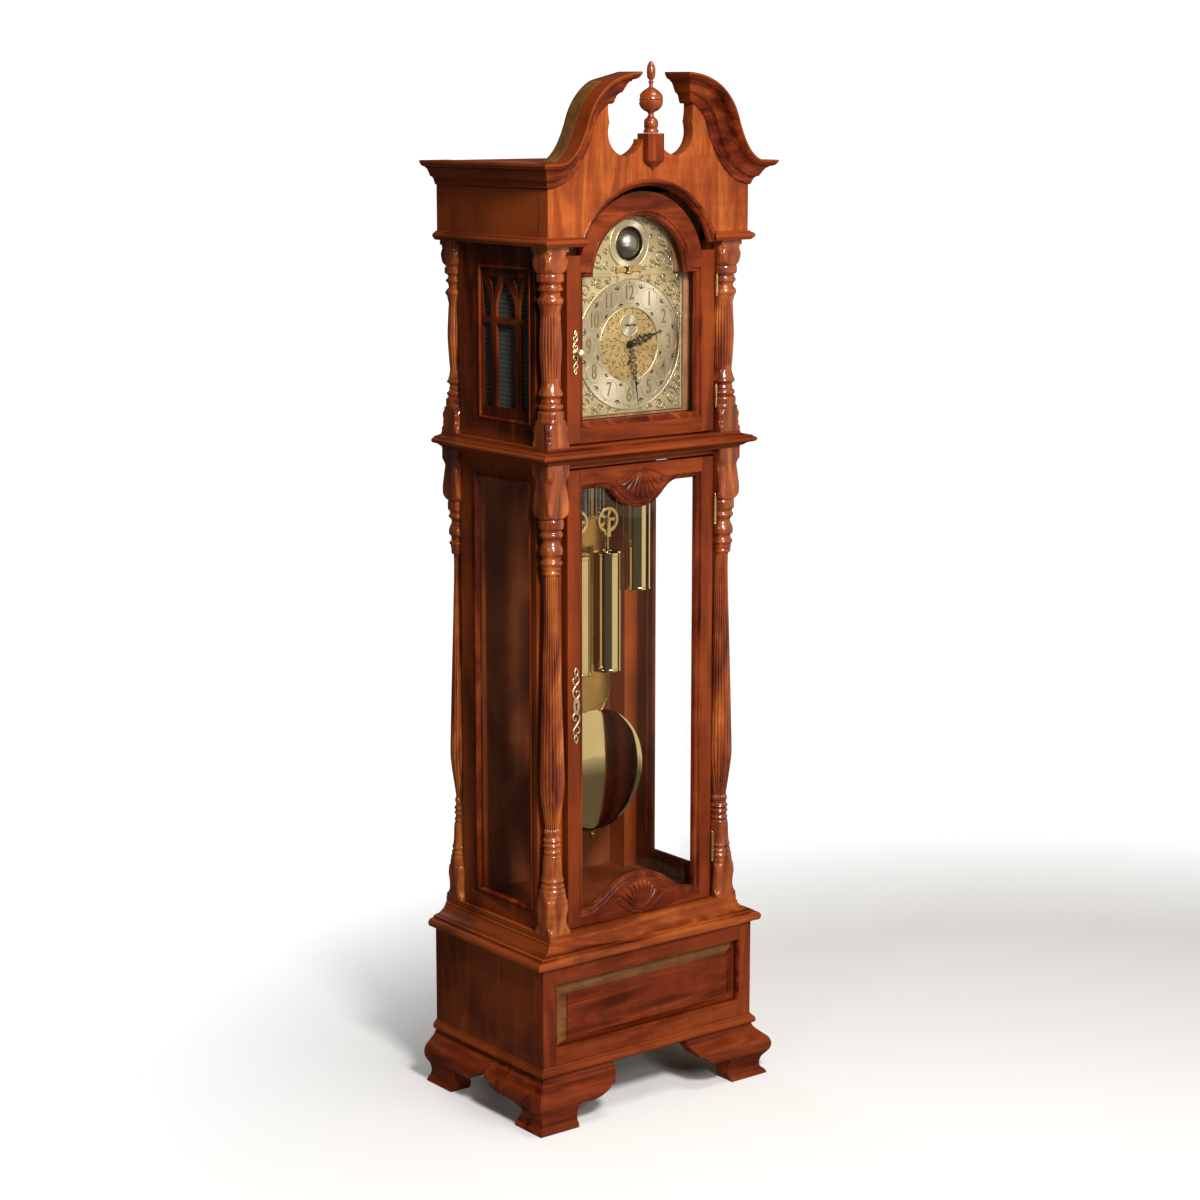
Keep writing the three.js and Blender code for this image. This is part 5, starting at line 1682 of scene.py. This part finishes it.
make_moon()

# ---- Door furniture ----

# One arm of pierced scrollwork, as (right, up) points from its foot: a long S, two curls and a leaf tip.
SCROLL_ARM = [
    [(-2, -2), (-8, 7), (-7, 17), (0, 26), (7, 35), (5, 45), (-1, 45), (-1, 39)],
    [(2, -2), (8, 5), (7, 13), (1, 14), (1, 9)],
    [(0, 26), (-7, 31), (-8, 39), (-4, 42)],
    [(1, 46), (-4, 53), (0, 63)],
    [(2, 46), (5, 54), (0, 63)],
]


def scroll_pair(middle, clear, size):
    """Two scrolled arms that leave the middle of a plate, one up and one down."""
    lines = []
    for up in (1, -1):
        for arm in SCROLL_ARM:
            placed = [(middle[0] + up * size * u, middle[1] + up * (clear + size * v)) for u, v in arm]
            line = curve_through(placed)
            lines.append(tapered(line, 1.1, 0.6, len(line)))
    return lines


def make_door_furniture():
    x, y = -170, DOOR_FRONT - 1.6
    lines = scroll_pair((x, 876), 16, 1)
    scrolls = wires("waist_escutcheon_scrolls", lines, 1.9, y + 0.4, flatten=0.6)
    key = [(x - 1.6, 866), (x + 1.6, 866), (x + 1.4, 876), *arc((x, 879), 2.8, -50, 230, 14), (x - 1.4, 876)]
    shield = [(x, 857), *curve_through([(x + 6, 863), (x + 8.6, 876), (x + 6, 889)]), (x, 895)]
    shield += curve_through([(x - 6, 889), (x - 8.6, 876), (x - 6, 863)])
    body = plate("waist_escutcheon_shield", shield, [key], near=y - 0.9, far=DOOR_FRONT - 0.1, eased=0.5)
    dress(joined("waist_escutcheon", [body, scrolls]), "scroll_brass", "waist_door", "waist_door_escutcheon")
    lines = scroll_pair((x, 1593), 5, 0.62)
    scrolls = wires("hood_plate_scrolls", lines, 1.7, y + 0.4, flatten=0.6)
    knob = [(0, 0), (7, 0), (7.4, -1.4), (6, -2.6), (3.6, -5), (3.4, -12)]
    knob += [(5, -14), (8, -17), (9, -20.4), (7.6, -24), (4, -26.4), (0, -27)]
    knob = lathe("knob", [(r, DOOR_FRONT + out) for r, out in knob], (x, 0, 1593), "y", 32)
    dress(joined("hood_plate", [knob, scrolls]), "scroll_brass", "hood_door", "hood_door_knob")
    for door in ("waist_door", "hood_door"):
        for end in ("lower", "upper"):
            hinge(f"{door}_hinge_{end}")


def hinge(node):
    low, high = span(node)
    x, y, top = 192, DOOR_FRONT - 4, high.z - low.z
    shape = [(0, 0), (1.4, 0.4), (2, 2), (1.3, 3.6), (3.2, 5)]
    knuckle = (top - 10) / 3
    for k in (1, 2):
        z = 5 + k * knuckle
        shape += [(3.2, z - 0.5), (2.7, z), (3.2, z + 0.5)]
    shape += [(3.2, top - 5), (1.3, top - 3.6), (2, top - 2), (1.4, top - 0.4), (0, top)]
    barrel = lathe(node + "_barrel", shape, (x, y, low.z), "z", 20)
    leaf = board(node + "_leaf", (x + 2.1, x + 3.3), (y, y + 22), (low.z + 8, high.z - 8), 0.3)
    dress(joined(node + "_pin", [barrel, leaf]), "brass", body_of(frame["nodes"][node])[0], node)


make_door_furniture()

# ---- Weights, pulleys, cables, pendulum and chimes ----

WEIGHT_Y = -26
WEIGHT_X = {"left": -79, "center": 0, "right": 79}
WEIGHT_TALL = 256
PULLEY_ABOVE = 65
CABLE_APART = 24
WEIGHT_SHELL = [
    (0, 0), (3, 0), (3, 0.1), (26, 0.4), (28.6, 0.8), (29.8, 2), (30, 3.6), (30, 6.4), (29.2, 7.4),
    (29.2, 247.6), (30, 248.6), (30, 252), (29.6, 254), (28.2, 255.4), (25, WEIGHT_TALL),
    (9, 256.4), (8, 258.5), (4, 259.5), (3.4, 264), (3.2, 284), (5, 286), (5, 289), (0, 289),
]


def make_weights():
    for train, x in WEIGHT_X.items():
        low = span(f"weight_{train}")[0].z
        body = f"weight_{train}"
        axle = low + WEIGHT_TALL + PULLEY_ABOVE
        dress(lathe(f"{body}_shell", WEIGHT_SHELL, (x, WEIGHT_Y, low), "z", 72), "mirror", body, body)
        y = (WEIGHT_Y - 7, WEIGHT_Y + 7)
        parts = [board(f"{body}_yoke", (x - 5, x + 5), y, (axle - 36, axle - 33), 0.8)]
        for sign in (-1, 1):
            y = sorted((WEIGHT_Y + sign * 5.2, WEIGHT_Y + sign * 7))
            arm = [(x - 5, axle - 34), (x + 5, axle - 34), (x + 3.6, axle - 4)]
            arm += [*arc((x, axle), 5, -40, 220, 16), (x - 3.6, axle - 4)]
            parts.append(plate(f"{body}_arm", arm, near=y[0], far=y[1], eased=0.4))
        ends = [(0, -8.4), (3, -8.2), (3.6, -7.2), (2.2, -7), (2.2, 7), (3.6, 7.2), (3, 8.2), (0, 8.4)]
        parts.append(lathe(f"{body}_axle", ends, (x, WEIGHT_Y, axle), "y", 20))
        dress(joined(f"{body}_stirrup", parts), "brass", body)
        make_pulley(train, x, axle)
        make_cable(train, x, axle)


def make_pulley(train, x, axle):
    """A grooved rim on five spokes."""
    spokes = 5
    rim = [(20.4, -3.4), (21, -4), (26.4, -4), (27, -3.4), (26.6, -2.6), (23.2, -0.9), (22.8, 0), (23.2, 0.9),
           (26.6, 2.6), (27, 3.4), (26.4, 4), (21, 4), (20.4, 3.4), (20.4, -3.4)]
    parts = [lathe("rim", rim, (x, WEIGHT_Y, axle), "y", 64)]
    hub = [(2.6, -4), (6.4, -4), (7, -3.4), (7, 3.4), (6.4, 4), (2.6, 4), (2.6, -4)]
    parts.append(lathe("hub", hub, (x, WEIGHT_Y, axle), "y", 32))
    windows = []
    for k in range(spokes):
        start = 360 * k / spokes + 12
        end = start + 360 / spokes - 24
        windows.append(arc((x, axle), 20, start, end, 12) + arc((x, axle), 8.5, end - 6, start + 6, 6))
    web = plate("web", circle((x, axle), 21.5, 64), [*windows, circle((x, axle), 3, 20)],
                near=WEIGHT_Y - 1.6, far=WEIGHT_Y + 1.6, eased=0.5)
    parts.append(web)
    dress(joined(f"spoked_pulley_{train}", parts), "brass", f"pulley_{train}", f"pulley_{train}")


def make_cable(train, x, axle):
    top = span(f"cable_{train}")[1].z
    steps = 60
    down = [(x - CABLE_APART, between(top, axle, s / steps)) for s in range(steps)]
    round_pulley = arc((x, axle), CABLE_APART, 180, 360, 32)
    line = down + round_pulley + [(2 * x - p, q) for p, q in reversed(down)]
    obj = wires(f"braided_cable_{train}", [line], 1.05, WEIGHT_Y)
    obj.modifiers.clear()
    dress(obj, "cable", body=None, stands_for=f"cable_{train}")
    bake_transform(obj, "case", f"weight_{train}", start=(x * MM, WEIGHT_Y * MM, top * MM),
             end=(x * MM, WEIGHT_Y * MM, (axle + 2) * MM))


make_weights()


def make_pendulum():
    y, bob, radius = 26, 681, 135
    body = "pendulum"
    rod = board("pendulum_rod", (-4, 4), (y - 1.4, y + 1.4), (bob - radius - 12, 1634), 0.5)
    right = curve_through([
        (18, 800), (34, 820), (47, 852), (43, 890), (36, 930), (31, 990),
        (30, 1050), (33, 1120), (38, 1180), (33, 1212), (18, 1230),
    ])
    outline = [*right, *mirrored(reversed(right), -1)]
    lyre = plate("lyre", outline, near=y - 4.4, far=y - 1.5, eased=0.7)
    rim = wires("lyre_rim", [offset_loop(outline, -5)], 0.8, y - 4.4, closed=True)
    nut = [(0, 0), (5, 0), (6, 1.5), (6, 8.5), (5, 10), (2, 10.4), (2, 16), (0, 16)]
    nut = lathe("rating_nut", nut, (0, y, bob - radius - 13), "z", 32)
    dress(joined("lyre_pendulum", [lyre, rim, rod, nut]), "pendulum_brass", body)
    half = 12
    shares = (0.0, 0.12, 0.24, 0.36, 0.48, 0.6, 0.7, 0.8, 0.88, 0.94)
    face = [(radius * t, y - half + 7.5 * t**2.4) for t in shares]
    back = [(131, y - 4.6), (134, y - 3.4), (135, y - 1.6), (135, y + 3)]
    back += [(130, y + 6), (80, y + 10), (0, y + half)]
    dress(lathe("pendulum_bob", face + back, (0, 0, bob), "y", 128), "mirror", body, "pendulum")


make_pendulum()


def make_chimes():
    rods, first, pitch, y, top = 8, 44, 10, 134, 1380
    pieces, screws = [], []
    for k in range(rods):
        x, low = first + k * pitch, 850 + 6 * k
        rod = [(0, low), (1.8, low), (2.5, low + 1), (2.5, top - 12)]
        rod += [(1.4, top - 8), (1.4, top + 1), (0, top + 1)]
        pieces.append(lathe(f"rod_{k}", rod, (x, y, 0), "z", 20))
    dress(joined("chime_rod_set", pieces), "steel", "case", "chime_rods")
    x = (first - 12, first + (rods - 1) * pitch + 12)
    dress(board("chime_block", x, (y - 12, BACK - 12.4), (top, top + 26), 3), "iron")
    screw = [(0, -15), (3, -14.6), (3.6, -13), (3.6, -12), (0, -12)]
    for k in range(rods):
        screws.append(lathe(f"screw_{k}", screw, (first + k * pitch, y, top + 13), "y", 16))
    dress(joined("chime_screws", screws), "brass")


make_chimes()

# ---- Camera, stage and light ----


def aim(obj, target):
    obj.rotation_euler = (Vector(target) - obj.location).to_track_quat("-Z", "Y").to_euler()


def make_camera():
    camera = bpy.data.objects.new("camera", bpy.data.cameras.new("camera"))
    camera.location = (-3.3744, -4.3523, 2.1012)
    camera.data.lens = 80.2
    camera.data.sensor_width = 36
    aim(camera, (0.020, 0.024, 1.048))
    bpy.context.scene.collection.objects.link(camera)
    bpy.context.scene.camera = camera


def lamp(name, place, target, size, power, colour=(1, 1, 1), size_y=None):
    data = bpy.data.lights.new(name, "AREA")
    data.shape = "RECTANGLE"
    data.size, data.size_y = size, size_y or size
    data.energy, data.color = power, colour
    obj = bpy.data.objects.new(name, data)
    obj.location = place
    aim(obj, target)
    bpy.context.scene.collection.objects.link(obj)


def make_stage():
    """A pale floor that fades out towards its rim and looks dull where the lacquer reflects it."""
    bpy.ops.mesh.primitive_circle_add(vertices=96, radius=3.2, fill_type="NGON", location=(0, 0, -0.0005))
    floor = bpy.context.object
    floor.name = "floor"
    n = Nodes("floor")
    n.tree.nodes.remove(n.shader)
    moved = n.add("ShaderNodeVectorMath", {0: n.place, 1: (-0.7, 0.9, 0)}, operation="ADD").outputs["Vector"]
    away = n.add("ShaderNodeVectorMath", {0: moved}, operation="LENGTH").outputs["Value"]
    share = n.add("ShaderNodeMath", {0: away, 1: 3.2}, operation="DIVIDE").outputs[0]
    fade = n.ramp(share, (0.42, 0.0), (0.75, 1.0))
    paint = n.add("ShaderNodeBsdfDiffuse", {"Color": (0.9, 0.92, 0.96)})
    clear = n.add("ShaderNodeBsdfTransparent")
    mirrored_in_lacquer = n.add("ShaderNodeLightPath").outputs["Is Glossy Ray"]
    dull = n.add("ShaderNodeBsdfDiffuse", {"Color": (0.12, 0.1, 0.08)})
    paint = n.add("ShaderNodeMixShader", {0: mirrored_in_lacquer, 1: paint.outputs[0], 2: dull.outputs[0]})
    both = n.add("ShaderNodeMixShader", {0: fade, 1: paint.outputs[0], 2: clear.outputs[0]})
    n.put(n.output.inputs["Surface"], both.outputs[0])
    floor.data.materials.append(n.material)


def make_world():
    """White behind the clock, with a dim room and one pale wall for it to reflect."""
    world = bpy.data.worlds.new("studio")
    bpy.context.scene.world = world
    world.use_nodes = True
    n = Tree(world.node_tree)
    direction = n.add("ShaderNodeTexCoord").outputs["Generated"]
    wall_way = Vector((0.8, -0.58, -0.1)).normalized()
    facing = n.add("ShaderNodeVectorMath", {0: direction, 1: wall_way}, operation="DOT_PRODUCT")
    facing = facing.outputs["Value"]
    room = n.tree.nodes["Background"]
    n.put(room.inputs["Color"], n.ramp(facing, (0.6, (0.06, 0.055, 0.045)), (0.7, (0.72, 0.62, 0.44))))
    n.put(room.inputs["Strength"], 1.0)
    white = n.add("ShaderNodeBackground", {"Color": (1, 1, 1), "Strength": 1.12})
    seen = n.add("ShaderNodeLightPath").outputs["Is Camera Ray"]
    mix = n.add("ShaderNodeMixShader", {0: seen, 1: room.outputs[0], 2: white.outputs[0]})
    n.put(n.tree.nodes["World Output"].inputs["Surface"], mix.outputs[0])
    bpy.context.scene.view_settings.view_transform = "Standard"


def make_lights():
    lamp("key", (-1.0, -3.3, 3.3), (0, 0, 1.5), 0.7, 180, (1, 0.95, 0.88))
    lamp("window", (-0.95, -4.5, 2.7), (0, 0, 1.4), 0.55, 62, (1, 0.96, 0.92), 1.2)
    lamp("doorway", (-4.2, -2.1, 2.7), (0, 0, 1.4), 0.3, 16, (1, 0.96, 0.92), 0.9)
    lamp("over", (0.3, -1.4, 4.2), (0, 0, 1), 1.2, 40, (1, 0.96, 0.9))
    lamp("rear", (0.5, 4.2, 2.3), (0, 0, 1.3), 1.2, 26, (1, 0.96, 0.9))


make_camera()
make_stage()
make_world()
make_lights()
